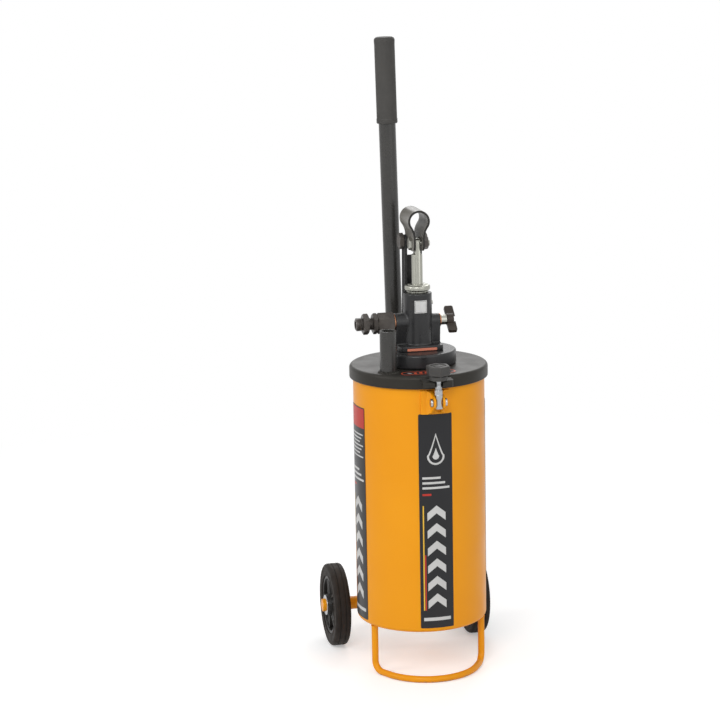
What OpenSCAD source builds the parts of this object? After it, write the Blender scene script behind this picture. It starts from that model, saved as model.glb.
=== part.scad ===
// Wheeled hand-lever grease applicator: a steel barrel on two wheels and a bent foot,
// with a piston pump on its clamped lid. Front is -Y, the ground is z = 0, millimetres.

/* [Barrel] */
// Outside diameter of the barrel
barrel_d = 156.5; // [150:0.5:175]
// Sheet thickness of the barrel
barrel_wall = 1.2; // [0.8:0.1:2]
// Height of the barrel from its bottom to the top of its rim bead
barrel_h = 304.5; // [240:0.5:380]
// Height of the barrel's bottom above the ground
barrel_lift = 60; // [56:1:80]
// Radius of the barrel's rounded bottom edge
bottom_edge_r = 5; // [3:0.5:8]
// Radius of the rolled bead at the barrel's rim
bead_r = 1.7; // [1.5:0.1:2]

/* [Lid] */
// How far the lid's rim stands out past the barrel
lid_overhang = 4.2; // [4.2:0.1:7]
// Sheet thickness of the lid
lid_wall = 2; // [1.5:0.1:2.4]
// Height of the lid's rim
lid_rim_h = 15; // [10:0.5:18]
// Radius of the lid's rounded top edge
lid_edge_r = 4; // [3:0.5:5]
// Thickness of the gasket under the lid
gasket_t = 5; // [2:0.1:6]
// Width of the gasket
gasket_w = 7; // [4:0.5:10]

/* [Foot] */
// Diameter of the foot's bent rod
foot_rod_d = 8; // [7:0.5:12]
// How far inside the barrel's wall the legs' outer side stands
foot_inset = 1.3; // [0.2:0.1:3]
// Angle of each leg from the front
leg_angle = 64.8; // [62:0.1:70]
// Plan radius of the foot's arc
foot_arc_r = 62; // [56:1:66]
// Half angle of the foot's arc
foot_half_angle = 60; // [56:1:62]
// Bend radius between the arc and a leg
foot_bend_r = 12; // [8:1:14]

/* [Wheels] */
// Outside diameter of a tyre
wheel_d = 102; // [90:1:120]
// Width of a tyre
tyre_w = 20; // [16:1:26]
// Radius of the tyre's rounded shoulders
tyre_edge_r = 4; // [2:0.5:6]
// Diameter where the tyre sits on the hub
rim_d = 72; // [62:1:80]
// Distance between the middles of the two tyres
track = 177; // [170:1:190]
// Diameter of the axle
axle_d = 16; // [12:1:18]
// Gap between the barrel's wall and the axle
axle_gap = 4; // [2:1:20]
// How far the axle stands out past a tyre's outer face
axle_end = 7; // [6:0.5:12]
// Diameter of the hub's boss
boss_d = 26; // [24:1:34]
// Length of the hub's boss
boss_l = 22; // [18:1:24]
// Thickness of the hub's rim
rim_t = 3.5; // [2.5:0.5:5]
// Thickness of the hub's web
web_t = 5; // [3:0.5:8]
// Number of double spokes on a hub
spoke_count = 5; // [3:1:8]
// Thickness of a spoke's rib
spoke_t = 2.5; // [1.5:0.5:4]
// Distance between the two ribs of a spoke
spoke_gap = 4.5; // [3:0.5:8]
// Thickness of an axle push nut
push_nut_t = 1.5; // [1:0.1:2]
// Diameter of an axle push nut
push_nut_d = 25; // [22:1:30]

/* [Axle brackets] */
// Thickness of a bracket plate
bracket_t = 4; // [3:0.5:6]
// Distance between the middles of the two bracket plates
bracket_span = 92; // [70:1:104]
// Height of a plate along the barrel's wall
bracket_h = 46; // [30:1:70]
// Width of the plate's metal around the axle
bracket_eye_w = 6; // [4:0.5:9]

/* [Lid clamps] */
// Diameter of a swing bolt
swing_bolt_d = 8; // [6:0.5:9]
// Drop from the lid's top to the swing bolt's pivot
pivot_drop = 28.4; // [28:0.1:40]
// Length of the swing bolt below its pivot
eye_end = 7; // [5.5:0.5:9]
// Width of the swing bolt's eye, along its pivot
eye_w = 7.4; // [5:0.1:9]
// Diameter of a clamp's pivot pin
clamp_pin_d = 6; // [4:0.5:6]
// Sheet thickness of the clamp bracket
ear_t = 2.5; // [1.5:0.5:4]
// Distance between the outsides of the two ears at the barrel's wall
ear_root_w = 34; // [30:1:44]
// Height of an ear at the barrel's wall
ear_root_h = 28; // [20:1:34]
// Radius of an ear's tip
ear_tip_r = 7; // [5:0.5:8]
// Gap between the lid's top and a knob's head
knob_lift = 4.8; // [1.2:0.1:6]
// Diameter of a knob's fluted head
knob_d = 29; // [26:1:34]
// Height of a knob's fluted head
knob_head_h = 10.5; // [8:0.5:14]
// Diameter of a knob's skirt
knob_skirt_d = 22.4; // [18:0.2:24]
// Number of flutes in a knob
flute_count = 6; // [6:1:12]
// Depth of a flute
flute_depth = 1.8; // [1:0.1:2.5]
// Width of a lid lug
lug_w = 36; // [30:1:44]
// Drop from the lid's top to a lug's top
lug_drop = 2.4; // [2.4:0.1:6]
// Thickness of a lid lug
lug_t = 4; // [3:0.5:5]
// Height of the lug's turned-down lip
lug_lip = 3.4; // [2:0.2:6]
// How far a lug's prongs reach past the swing bolt's axis
lug_reach = 4.5; // [3:0.5:5]

/* [Holders and lever] */
// Outside diameter of the nozzle holder
nozzle_holder_d = 19.6; // [16:0.2:24]
// Wall of the nozzle holder
nozzle_holder_wall = 2; // [1.5:0.1:3]
// Height of the nozzle holder
nozzle_holder_h = 49.5; // [30:0.5:60]
// Distance of the nozzle holder from the barrel's axis
nozzle_holder_at = 64; // [60:1:66]
// Direction of the nozzle holder from the front, to the left
nozzle_holder_turn = 47; // [45:0.5:70]
// Diameter of the lever's tube
lever_d = 20.2; // [19:0.1:22]
// Wall of the lever's tube
lever_wall = 2; // [1.5:0.1:3]
// Length of the lever with its grip
lever_l = 381.5; // [300:0.5:500]
// Sideways lean of the parked lever
lever_lean = 1.1; // [0:0.1:1.6]
// Diameter of the grip
grip_d = 25; // [24:0.5:32]
// Length of the grip
grip_l = 102; // [80:1:140]
// Thickness of the grip's closed end
grip_end = 5; // [3:0.5:8]
// Wall of the lever holder
lever_holder_wall = 2; // [1.5:0.1:3]
// Height of the lever holder
lever_holder_h = 38; // [25:1:42]
// Room between the lever and its holder all round
lever_room = 1; // [0.8:0.1:1.5]
// Distance of the lever holder from the barrel's axis
lever_holder_at = 61.5; // [60.5:0.5:65]
// Direction of the lever holder from the back, to the left
lever_holder_turn = 13.5; // [0:0.5:30]

/* [Pump casting] */
// Diameter of the mounting disc
disc_d = 90; // [84:1:93]
// Height of the mounting disc
disc_h = 17; // [12:0.5:24]
// Radius of the disc's rounded edges
disc_edge_r = 2.5; // [2:0.5:6]
// Length of the casting's base plate
base_l = 54; // [54:1:64]
// Width of the casting's base plate
base_w = 40; // [36:1:46]
// Thickness of the casting's base plate
base_t = 6.5; // [5:0.5:9]
// Corner radius of the base plate
base_r = 6; // [3:0.5:8]
// Diameter of the casting's upright barrel
body_d = 34; // [33:0.2:36]
// Height of the casting's upright barrel above the base plate
body_h = 61.5; // [54:0.5:70]
// Height of the outlet's axis above the base plate
outlet_h = 26.5; // [24:0.5:32]
// Diameter of the outlet boss
outlet_boss_d = 22; // [20:0.5:24]
// Diameter of the bleed boss
bleed_boss_d = 16.6; // [14:0.2:18]
// Width of the ribs under the bosses
rib_w = 10; // [6:0.5:14]
// Diameter of the pump screws
screw_d = 6; // [5:0.5:6.5]
// Distance between the pump screws along the base plate
screw_span_x = 44; // [40:1:44]
// Distance between the pump screws across the base plate
screw_span_y = 28; // [26:1:28]
// Height of a pump screw's head
screw_head_h = 4; // [3:0.5:6]
// Width across flats of a pump screw's head
screw_head_af = 10; // [8:0.5:11]
// Diameter of the set screw
set_screw_d = 5; // [3:0.5:6]
// Height of the set screw above the base plate
set_screw_h = 48.5; // [44:0.5:50]

/* [Gland and piston] */
// Diameter of the piston rod
rod_d = 13; // [11:0.5:14]
// Diameter of the gland nut
gland_d = 30.4; // [28:0.2:33]
// Height of the gland nut above the casting
gland_h = 10; // [7:0.5:14]
// Radius of the gland nut's rounded edge
gland_edge_r = 2.5; // [1:0.5:3]
// Diameter of the gland's thread
gland_thread_d = 22; // [20:0.5:24]
// Length of the gland's thread in the casting
gland_thread_l = 6; // [4:0.5:8]
// Height of the gland packing
packing_h = 8; // [5:0.5:10]
// Length of rod that shows above the gland
rod_show = 36.5; // [32:0.1:50]
// Thickness of the rod's flat tang
tang_t = 6; // [5:0.5:8]
// Height from the rod's shoulder to its cross bolt
tang_h = 11.6; // [11.4:0.2:14]
// Diameter of the pump tube
pump_tube_d = 28; // [26:0.5:29]
// Wall of the pump tube
pump_tube_wall = 2.5; // [2:0.1:3]
// Depth of the pump tube in the casting
pump_tube_seat = 8; // [5:0.5:10]
// Gap between the pump tube and the barrel's bottom
tube_clear = 18; // [14:1:30]
// Height of the piston
piston_h = 16; // [10:1:24]
// Height of the piston's seal
piston_seal_h = 6; // [4:0.5:8]
// Height of the piston above the pump tube's end
piston_lift = 40; // [34:1:80]
// Diameter of the intake ball
ball_d = 14; // [13:0.5:16]

/* [Lever clamp and link] */
// Inside diameter of the clamp's loop
loop_d = 21.2; // [21.2:0.1:26]
// Thickness of the clamp's strap
strap_t = 2.5; // [2:0.1:3]
// Width of the strap along the lever
strap_w = 43; // [42:1:50]
// How far the strap reaches in front of the rod's bolt
strap_front = 13; // [11:0.5:14]
// Bend radius at the neck of the loop
neck_r = 22; // [10:0.5:23]
// Height of the loop's middle above the rod's bolt
loop_h = 27.5; // [27:0.5:34]
// How far the strap's legs reach below the rod's bolt
leg_drop = 8.5; // [7.5:0.1:8.8]
// Side gap between the tang and a leg
tang_gap = 1.2; // [0.3:0.1:1.6]
// Diameter of the two cross bolts
cross_bolt_d = 8; // [6:0.5:8]
// Width across flats of the rod bolt's head and nut
rod_bolt_af = 13; // [11:0.5:13]
// Height of the rod bolt's head
rod_bolt_head_h = 3.6; // [3:0.1:6]
// Width across flats of the link bolt's head and nut
link_bolt_af = 17; // [13:0.5:18]
// Height of the link bolt's head
link_bolt_head_h = 5.3; // [4:0.1:7]
// Height of a cross bolt's nut
cross_nut_h = 6.5; // [5:0.5:8]
// Length of bolt that shows past its nut
cross_bolt_end = 2; // [1:0.5:4]
// Distance between the rod's bolt and the link's bolt
bolt_span = 24; // [23:0.5:26]
// Play around the link's bolt in the link's ears
link_play = 1.4; // [1.3:0.1:2]
// Sheet thickness of the link
link_t = 3; // [2:0.5:4]
// Half width of the link's flanges
link_r = 7.8; // [7.5:0.1:9]
// Side gap between the clamp's legs and the link's ears
link_gap = 0.8; // [0.6:0.1:2]
// Height of the link's lower pin above the base plate
link_pin_h = 27.5; // [26:0.5:32]
// Diameter of the link's lower pin
link_pin_d = 8; // [6:0.5:9]
// How far the link's lower pin stands behind the link's bolt
link_set_back = 4; // [3:0.5:6]

/* [Outlet] */
// Thickness of the copper washers
washer_t = 1.3; // [1:0.1:2]
// Length of the outlet boss from the pump's axis
outlet_boss_l = 28.5; // [27:0.1:32]
// Width across flats of the outlet adapter
adapter_af = 22; // [19:0.5:24]
// Length of the outlet adapter
adapter_l = 20; // [14:0.2:26]
// Width across flats of the lock nut
lock_nut_af = 22; // [19:0.5:24]
// Thickness of the lock nut
lock_nut_t = 5.6; // [4:0.2:9]
// Gap between the lock nut and the hose nut
nut_gap = 5; // [1:0.2:6]
// Width across flats of the hose nut
hose_nut_af = 22; // [19:0.5:24]
// Thickness of the hose nut
hose_nut_t = 7; // [6:0.5:14]
// Diameter of the outlet's threaded nipple
nipple_d = 15.7; // [14:0.1:16.5]
// Length of the nipple past the hose nut
nipple_end = 8.4; // [5:0.2:12]
// Depth of the nipple's neck below its end thread
neck_depth = 0.45; // [0.4:0.05:0.8]
// Length of neck that shows between the hose nut and the end thread
neck_show = 1; // [0.6:0.1:2]
// Length of the nipple in the adapter
nipple_seat = 11; // [8:0.5:12]
// Diameter of the outlet's passage
outlet_bore_d = 9; // [7:0.5:10]
// Diameter of the adapter's stub in the casting
adapter_stub_d = 13.8; // [12:0.2:15]
// Length of the adapter's stub
adapter_stub_l = 12; // [8:0.5:14]

/* [Bleed valve] */
// Length of the bleed boss from the pump's axis
bleed_boss_l = 26; // [25:0.5:32]
// Diameter of the bleed stem's collar
stem_collar_d = 12; // [10:0.5:14]
// Length of the bleed stem's collar
stem_collar_l = 7.5; // [5:0.5:10]
// Diameter of the bleed stem
stem_d = 8; // [6:0.5:8.5]
// Length of the bleed stem inside the casting
stem_in = 16; // [10:0.5:17]
// Diameter of the wing handle's hub
wing_hub_d = 14; // [12:0.5:18]
// Length of the wing handle's hub
wing_hub_l = 8; // [6:0.5:12]
// Reach of a wing from the stem's axis
wing_reach = 17.5; // [14:0.5:22]
// Width of a wing along the stem
wing_w = 10.5; // [8:0.5:14]
// Corner radius of a wing
wing_corner_r = 2; // [1:0.5:4]
// Thickness of a wing
wing_t = 5; // [3:0.5:6]
// Backward turn of the closed wing handle from upright
wing_turn = 50; // [0:5:90]

/* [Follower] */
// Thickness of the follower plate
follower_t = 2.5; // [1.5:0.5:4]
// Height of the follower plate above the barrel's bottom
follower_h = 150; // [140:1:160]
// Height of the follower's wiper
wiper_h = 6; // [4:0.5:10]
// Width of the follower's wiper
wiper_w = 6; // [4:0.5:10]

/* [Labels] */
// Width of a barrel label around the wall
label_w = 40.5; // [20:0.5:60]
// Gap between a label's top and the lower edge of the clamp bracket
label_top_gap = 0.2; // [0.2:0.1:60]
// Height of a label above the barrel's bottom
label_at = 6; // [5:0.5:20]
// Turn of the left label from the front label
left_label_turn = 84; // [80:1:100]
// Turn of the right label from the front label
right_label_turn = 90; // [80:1:100]
// Thickness of labels and stickers
label_t = 0.3; // [0.2:0.1:0.5]
// Width of the pump sticker around the casting
pump_sticker_w = 15; // [8:0.5:20]
// Height of the pump sticker
pump_sticker_h = 15; // [8:0.5:16]
// Middle height of the pump sticker above the base plate
pump_sticker_at = 46.5; // [38:0.5:48]
// Length of the base sticker
base_sticker_l = 36; // [20:1:44]
// Height of the base sticker
base_sticker_h = 3; // [2.4:0.2:5]
// Height of the base sticker's lower edge on the base plate
base_sticker_low = 1; // [0.5:0.1:2]
// Length of the lid sticker
lid_sticker_l = 66; // [30:1:70]
// Width of the lid sticker
lid_sticker_w = 18; // [12:0.5:22]
// Distance of the lid sticker's middle in front of the barrel's axis
lid_sticker_at = 60; // [58:0.5:62]
// How far the lid sticker's middle stands to the left
lid_sticker_left = 3; // [0:0.5:4]

/* [Clearances] */
// Radial clearance of turning and sliding fits
run_fit = 0.05; // [0.02:0.01:0.1]
// Gap between fixed pieces that are welded, screwed or glued
seat_gap = 0.03; // [0.02:0.01:0.1]
// Gap between faces that pass each other
pass_gap = 0.6; // [0.5:0.1:0.8]
// Thickness of the glue under labels and stickers
glue_t = 0.1; // [0.08:0.01:0.2]
// Gap between a soft seal and the wall it wipes
wipe_gap = 0.3; // [0.2:0.05:0.4]

/* [Hidden] */
$fn = 64;
// Step where a straight and a bent stretch of one rod or strap meet
seam = 0.03;
// Barrel and lid
barrel_r = barrel_d / 2;
barrel_in_r = barrel_r - barrel_wall;
lid_r = barrel_r + lid_overhang;
rim_z = barrel_lift + barrel_h;
lid_under_z = rim_z + gasket_t;
lid_top_z = lid_under_z + lid_wall;
// Foot
foot_r = foot_rod_d / 2;
leg_at = barrel_r - foot_r - foot_inset;
leg_x = leg_at * sin(leg_angle);
leg_y = -leg_at * cos(leg_angle);
foot_side = (leg_x - foot_arc_r * sin(foot_half_angle)) / cos(foot_half_angle);
foot_end_y = leg_y - foot_side * sin(foot_half_angle);
foot_arc_y = foot_end_y + foot_arc_r * cos(foot_half_angle);
// Wheels
wheel_r = wheel_d / 2;
axle_r = axle_d / 2;
wheel_y = barrel_r + axle_gap + axle_r;
wheel_x = track / 2;
hub_r = rim_d / 2;
axle_half = wheel_x + tyre_w / 2 + axle_end;
// Lid clamps
bolt_r = swing_bolt_d / 2;
skirt_r = knob_skirt_d / 2;
knob_r = knob_d / 2;
clamp_at = lid_r + skirt_r + pass_gap;
pivot_z = lid_top_z - pivot_drop;
lug_top_z = lid_top_z - lug_drop;
knob_z = lug_top_z + pass_gap;
skirt_h = lid_top_z + knob_lift - knob_z;
knob_top_z = knob_z + skirt_h + knob_head_h;
knob_recess = knob_head_h / 3;
ear_in = eye_w / 2 + pass_gap;
ear_low_z = pivot_z - ear_root_h * 0.6;
ear_high_z = ear_low_z + ear_root_h;
// The whole part stands with the middle of its footprint at the origin
axis_y = (clamp_at + knob_r - wheel_y - wheel_r) / 2;
// Pump casting
disc_r = disc_d / 2;
base_z = lid_top_z + disc_h;
body_z = base_z + base_t;
body_r = body_d / 2;
body_top_z = body_z + body_h;
outlet_z = body_z + outlet_h;
screw_r = screw_d / 2;
screw_in = base_t - 1.5;
// Gland and piston
rod_r = rod_d / 2;
gland_top_z = body_top_z + gland_h;
shoulder_z = gland_top_z + rod_show;
rod_bolt_z = shoulder_z + tang_h;
gland_thread_r = gland_thread_d / 2;
packing_z = body_top_z - gland_thread_l - packing_h;
tube_r = pump_tube_d / 2;
tube_in_r = tube_r - pump_tube_wall;
tube_top_z = body_z - base_t + pump_tube_seat;
tube_z = barrel_lift + tube_clear;
piston_z = tube_z + piston_lift;
valve_floor = 4;
valve_wall = 2;
ball_r = ball_d / 2;
ball_seat_r = ball_r * 0.8;
ball_lift = sqrt(ball_r * ball_r - ball_seat_r * ball_seat_r);
// Lever clamp and link
loop_r = loop_d / 2;
loop_z = rod_bolt_z + loop_h;
leg_in = tang_t / 2 + tang_gap;
leg_out = leg_in + strap_t;
neck_x = leg_out + neck_r;
neck_drop = sqrt(pow(loop_r + strap_t + neck_r, 2) - neck_x * neck_x);
neck_z = loop_z - neck_drop;
neck_turn = atan2(neck_x, neck_drop);
cross_r = cross_bolt_d / 2;
ear_gap_in = leg_out + link_gap;
ear_gap_out = ear_gap_in + link_t;
link_bolt_z = rod_bolt_z;
link_pin_z = body_z + link_pin_h;
link_pin_y = bolt_span + link_set_back;
link_rise = link_bolt_z - link_pin_z;
link_l = sqrt(link_rise * link_rise + link_set_back * link_set_back);
link_tilt = atan2(link_set_back, link_rise);
link_web_z = link_r + 8;
link_web_h = link_l - link_web_z - link_r - leg_drop - 2;
lug_half = ear_gap_in - pass_gap;
link_pin_half = ear_gap_out + 2.5;
// Lever
lever_r = lever_d / 2;
lever_holder_r = lever_r + lever_room;
lever_seat = lever_r * sin(lever_lean) + seat_gap;
lever_tube_l = lever_l - grip_end;
// Outlet
outlet_face = outlet_boss_l + washer_t;
adapter_end = outlet_face + adapter_l;
lock_nut_end = adapter_end + lock_nut_t;
hose_nut_at = lock_nut_end + nut_gap;
hose_nut_end = hose_nut_at + hose_nut_t;
nipple_tip = hose_nut_end + nipple_end;
nipple_r = nipple_d / 2;
nipple_neck_r = nipple_r - neck_depth;
// Bleed valve
bleed_face = bleed_boss_l + washer_t;
stem_r = stem_d / 2;
collar_end = bleed_face + stem_collar_l;
// Follower
follower_z = barrel_lift + follower_h;
wiper_r = barrel_in_r - wipe_gap;
// Labels
label_z = barrel_lift + label_at;
label_h = ear_low_z - label_top_gap - label_z;

// Stands a piece on the barrel's axis
module on_axis(z = 0) {
    translate([0, axis_y, z]) children();
}

// Turns a piece from the front clamp's place to the rear one's
module to_rear() {
    rotate([0, 0, 180]) children();
}

// A cylinder along +X from x0 to x1
module x_rod(r, x0, x1) {
    translate([x0, 0, 0]) rotate([0, 90, 0]) cylinder(r = r, h = x1 - x0);
}

// A hexagonal bar along +X from x0 to x1, with a corner to the front
module x_hex(af, x0, x1) {
    translate([x0, 0, 0]) rotate([0, 90, 0]) rotate([0, 0, 90])
        cylinder(r = af / 2 / cos(30), h = x1 - x0, $fn = 6);
}

// A flat profile drawn in Y and Z, extruded along X from x0 to x1
module x_plate(x0, x1) {
    translate([x0, 0, 0]) rotate([90, 0, 90]) linear_extrude(x1 - x0) children();
}

module tube(r_out, r_in, h) {
    difference() {
        cylinder(r = r_out, h = h);
        translate([0, 0, -1]) cylinder(r = r_in, h = h + 2);
    }
}

// A disc with both rims rounded
module puck(r, h, edge) {
    rotate_extrude() {
        square([r - edge, h]);
        translate([0, edge]) square([r, h - 2 * edge]);
        translate([r - edge, edge]) circle(edge);
        translate([r - edge, h - edge]) circle(edge);
    }
}

// A rectangle with round corners
module round_rect(l, w, r) {
    square([l - 2 * r, w], center = true);
    square([l, w - 2 * r], center = true);
    for (sx = [-1, 1], sy = [-1, 1])
        translate([sx * (l / 2 - r), sy * (w / 2 - r)]) circle(r);
}

// Barrel, foot and wheels
module barrel() {
    color("orange") on_axis() rotate_extrude() {
        difference() {
            union() {
                translate([0, barrel_lift]) square([barrel_r - bottom_edge_r, bottom_edge_r]);
                translate([0, barrel_lift + bottom_edge_r])
                    square([barrel_r, barrel_h - bottom_edge_r - bead_r]);
                translate([barrel_r - bottom_edge_r, barrel_lift + bottom_edge_r]) circle(bottom_edge_r);
                translate([barrel_r, rim_z - bead_r]) circle(bead_r);
            }
            translate([0, barrel_lift + barrel_wall]) square([barrel_in_r - bottom_edge_r, barrel_h]);
            translate([0, barrel_lift + bottom_edge_r + barrel_wall]) square([barrel_in_r, barrel_h]);
            translate([barrel_in_r - bottom_edge_r, barrel_lift + bottom_edge_r + barrel_wall])
                circle(bottom_edge_r);
        }
    }
}

// One leg with its bend and the straight side of the foot, which run a little into each other
module foot_leg() {
    lap = 10 * seam;
    translate([leg_x, leg_y, 0]) rotate([0, 0, foot_half_angle]) {
        translate([0, 0, foot_r + foot_bend_r - lap])
            cylinder(r = foot_r, h = barrel_lift - foot_r - foot_bend_r - seat_gap + lap);
        translate([-foot_bend_r, 0, foot_r + foot_bend_r]) rotate([90, 0, 0]) rotate([0, 0, -90])
            rotate_extrude(angle = 90) translate([foot_bend_r, 0]) circle(foot_r - seam);
        translate([0, 0, foot_r]) x_rod(foot_r, -foot_side - lap, -foot_bend_r + lap);
    }
}

module front_foot() {
    color("orange") on_axis() {
        translate([0, foot_arc_y, foot_r]) rotate([0, 0, -90 - foot_half_angle])
            rotate_extrude(angle = 2 * foot_half_angle) translate([foot_arc_r, 0]) circle(foot_r - seam);
        foot_leg();
        mirror([1, 0, 0]) foot_leg();
    }
}

module axle() {
    color("orange") on_axis() translate([0, wheel_y, wheel_r]) x_rod(axle_r, -axle_half, axle_half);
}

module axle_bracket(side) {
    x_mid = side * bracket_span / 2;
    eye_r = axle_r + bracket_eye_w;
    on_axis() difference() {
        x_plate(x_mid - bracket_t / 2, x_mid + bracket_t / 2) {
            translate([wheel_y, wheel_r]) circle(eye_r);
            polygon([
                [barrel_r / 2, barrel_lift + bottom_edge_r],
                [wheel_y, wheel_r - eye_r],
                [wheel_y + eye_r, wheel_r],
                [barrel_r / 2, barrel_lift + bottom_edge_r + bracket_h]]);
        }
        cylinder(r = barrel_r + seat_gap, h = rim_z);
        translate([0, wheel_y, wheel_r]) x_rod(axle_r + seat_gap, -axle_half, axle_half);
    }
}

module left_axle_bracket() {
    color("orange") axle_bracket(-1);
}

module right_axle_bracket() {
    color("orange") axle_bracket(1);
}

module axle_push_nuts() {
    nut_out = wheel_x + boss_l / 2 + pass_gap / 2;
    nut_in = wheel_x - boss_l / 2 - pass_gap / 2 - push_nut_t;
    color("silver") on_axis() translate([0, wheel_y, wheel_r])
        for (side = [-1, 1], x = [nut_out, nut_in])
            mirror([side < 0 ? 1 : 0, 0, 0]) translate([x, 0, 0]) rotate([0, 90, 0])
                tube(push_nut_d / 2, axle_r + seat_gap, push_nut_t);
}

// A wheel's hub: rim, web, boss and double spokes on both sides of the web
module hub() {
    boss_r = boss_d / 2;
    rim_w = tyre_w - 3;
    difference() {
        union() {
            translate([0, 0, -rim_w / 2]) tube(hub_r, hub_r - rim_t, rim_w);
            translate([0, 0, -web_t / 2]) cylinder(r = hub_r - rim_t / 2, h = web_t);
            translate([0, 0, -boss_l / 2]) cylinder(r = boss_r, h = boss_l);
            for (i = [0 : spoke_count - 1], s = [-1, 1])
                rotate([0, 0, 90 + i * 360 / spoke_count])
                    translate([boss_r / 2, s * (spoke_gap + spoke_t) / 2 - spoke_t / 2, -rim_w / 2 + 1])
                        cube([hub_r - rim_t / 2 - boss_r / 2, spoke_t, rim_w - 2]);
        }
        translate([0, 0, -boss_l]) cylinder(r = axle_r + run_fit, h = 2 * boss_l);
    }
}

module tyre() {
    rotate_extrude() difference() {
        union() {
            translate([0, -tyre_w / 2]) square([wheel_r - tyre_edge_r, tyre_w]);
            translate([0, tyre_edge_r - tyre_w / 2]) square([wheel_r, tyre_w - 2 * tyre_edge_r]);
            for (s = [-1, 1])
                translate([wheel_r - tyre_edge_r, s * (tyre_w / 2 - tyre_edge_r)]) circle(tyre_edge_r);
        }
        translate([0, -tyre_w]) square([hub_r + seat_gap, 2 * tyre_w]);
    }
}

module at_wheel(side) {
    on_axis() translate([side * wheel_x, wheel_y, wheel_r]) rotate([0, side * 90, 0]) children();
}

module left_hub() {
    color("dimgray") at_wheel(-1) hub();
}

module left_tyre() {
    color("#3a3532") at_wheel(-1) tyre();
}

module right_hub() {
    color("dimgray") at_wheel(1) hub();
}

module right_tyre() {
    color("#3a3532") at_wheel(1) tyre();
}

// Lid clamps, drawn at the front
module clamp_bracket() {
    root_x = ear_root_w / 2;
    bend_y = -(barrel_r + clamp_at) / 2;
    tip_y = -clamp_at - ear_tip_r;
    difference() {
        union() {
            intersection() {
                translate([0, 0, pivot_z - ear_root_h]) linear_extrude(2 * ear_root_h)
                    for (s = [-1, 1])
                        polygon([
                            [s * root_x, -barrel_r * 0.9],
                            [s * (ear_in + ear_t), bend_y],
                            [s * (ear_in + ear_t), tip_y],
                            [s * ear_in, tip_y],
                            [s * ear_in, bend_y + ear_t / 2],
                            [s * (root_x - 1.5 * ear_t), -barrel_r * 0.9]]);
                x_plate(-root_x, root_x) {
                    translate([-clamp_at, pivot_z]) circle(ear_tip_r);
                    polygon([
                        [-barrel_r * 0.9, ear_low_z],
                        [-barrel_r - ear_t, ear_low_z],
                        [-clamp_at - ear_tip_r * 0.3, pivot_z - ear_tip_r * 0.954],
                        [-clamp_at - ear_tip_r * 0.3, pivot_z + ear_tip_r * 0.954],
                        [-barrel_r - ear_t, ear_high_z],
                        [-barrel_r * 0.9, ear_high_z]]);
                }
            }
            intersection() {
                translate([0, 0, ear_low_z]) cylinder(r = barrel_r + ear_t, h = ear_root_h);
                translate([-root_x, -2 * barrel_r, 0]) cube([2 * root_x, 2 * barrel_r, rim_z]);
            }
        }
        cylinder(r = barrel_r + seat_gap, h = rim_z + gasket_t);
        translate([0, -clamp_at, pivot_z]) x_rod(clamp_pin_d / 2 + seat_gap, -root_x, root_x);
    }
}

module clamp_pin() {
    half = ear_in + ear_t + seat_gap;
    head_r = clamp_pin_d / 2 + 1.8;
    translate([0, -clamp_at, pivot_z]) {
        x_rod(clamp_pin_d / 2, -half, half);
        x_rod(head_r, half, half + 3);
        x_rod(head_r, -half - 3, -half);
    }
}

module swing_bolt() {
    collar_z = pivot_z + bolt_r + 5;
    translate([0, -clamp_at, 0]) difference() {
        union() {
            translate([0, 0, collar_z]) cylinder(r = bolt_r, h = knob_top_z - knob_recess - collar_z);
            translate([0, 0, collar_z]) cylinder(r = bolt_r + 0.7, h = 6);
            intersection() {
                translate([0, 0, pivot_z - eye_end])
                    cylinder(r = bolt_r + 1.5, h = collar_z + eye_end - pivot_z);
                translate([-eye_w / 2, -barrel_r, 0]) cube([eye_w, 2 * barrel_r, lid_top_z]);
            }
        }
        translate([0, 0, pivot_z]) x_rod(clamp_pin_d / 2 + run_fit, -eye_w, eye_w);
    }
}

module knob() {
    flute_r = knob_r * PI / flute_count * 0.7;
    translate([0, -clamp_at, knob_z]) difference() {
        union() {
            cylinder(r1 = skirt_r - 0.6, r2 = skirt_r, h = skirt_h);
            translate([0, 0, skirt_h]) difference() {
                puck(knob_r, knob_head_h, 2);
                for (i = [0 : flute_count - 1])
                    rotate([0, 0, i * 360 / flute_count])
                        translate([knob_r + flute_r - flute_depth, 0, -1])
                            cylinder(r = flute_r, h = knob_head_h + 2);
            }
        }
        translate([0, 0, -1]) cylinder(r = bolt_r + run_fit, h = skirt_h + knob_head_h + 2);
        translate([0, 0, skirt_h + knob_head_h - knob_recess]) cylinder(r = knob_r * 0.6, h = knob_head_h);
    }
}

// A formed fork plate whose lip turns down past the swing bolt
module lid_lug() {
    front_y = -clamp_at - lug_reach;
    slot_r = bolt_r + pass_gap;
    difference() {
        intersection() {
            x_plate(-lug_w / 2, lug_w / 2) {
                translate([front_y + lug_t, lug_top_z - lug_t])
                    square([clamp_at + lug_reach - lug_t, lug_t]);
                translate([front_y + lug_t, lug_top_z - lug_t]) circle(lug_t);
                translate([front_y, lug_top_z - lug_t - lug_lip]) square([lug_t, lug_lip]);
            }
            translate([0, front_y / 2, 0]) linear_extrude(lid_top_z) round_rect(lug_w, -front_y, 6);
        }
        cylinder(r = lid_r + seat_gap, h = lid_top_z + 1);
        translate([0, -clamp_at, 0]) cylinder(r = slot_r, h = lid_top_z);
        translate([-slot_r, -clamp_at - barrel_r, 0]) cube([2 * slot_r, barrel_r, lid_top_z]);
    }
}

module front_clamp_bracket() {
    color("orange") on_axis() clamp_bracket();
}

module rear_clamp_bracket() {
    color("orange") on_axis() to_rear() clamp_bracket();
}

module front_clamp_pin() {
    color("silver") on_axis() clamp_pin();
}

module rear_clamp_pin() {
    color("silver") on_axis() to_rear() clamp_pin();
}

module front_swing_bolt() {
    color("silver") on_axis() swing_bolt();
}

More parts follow.
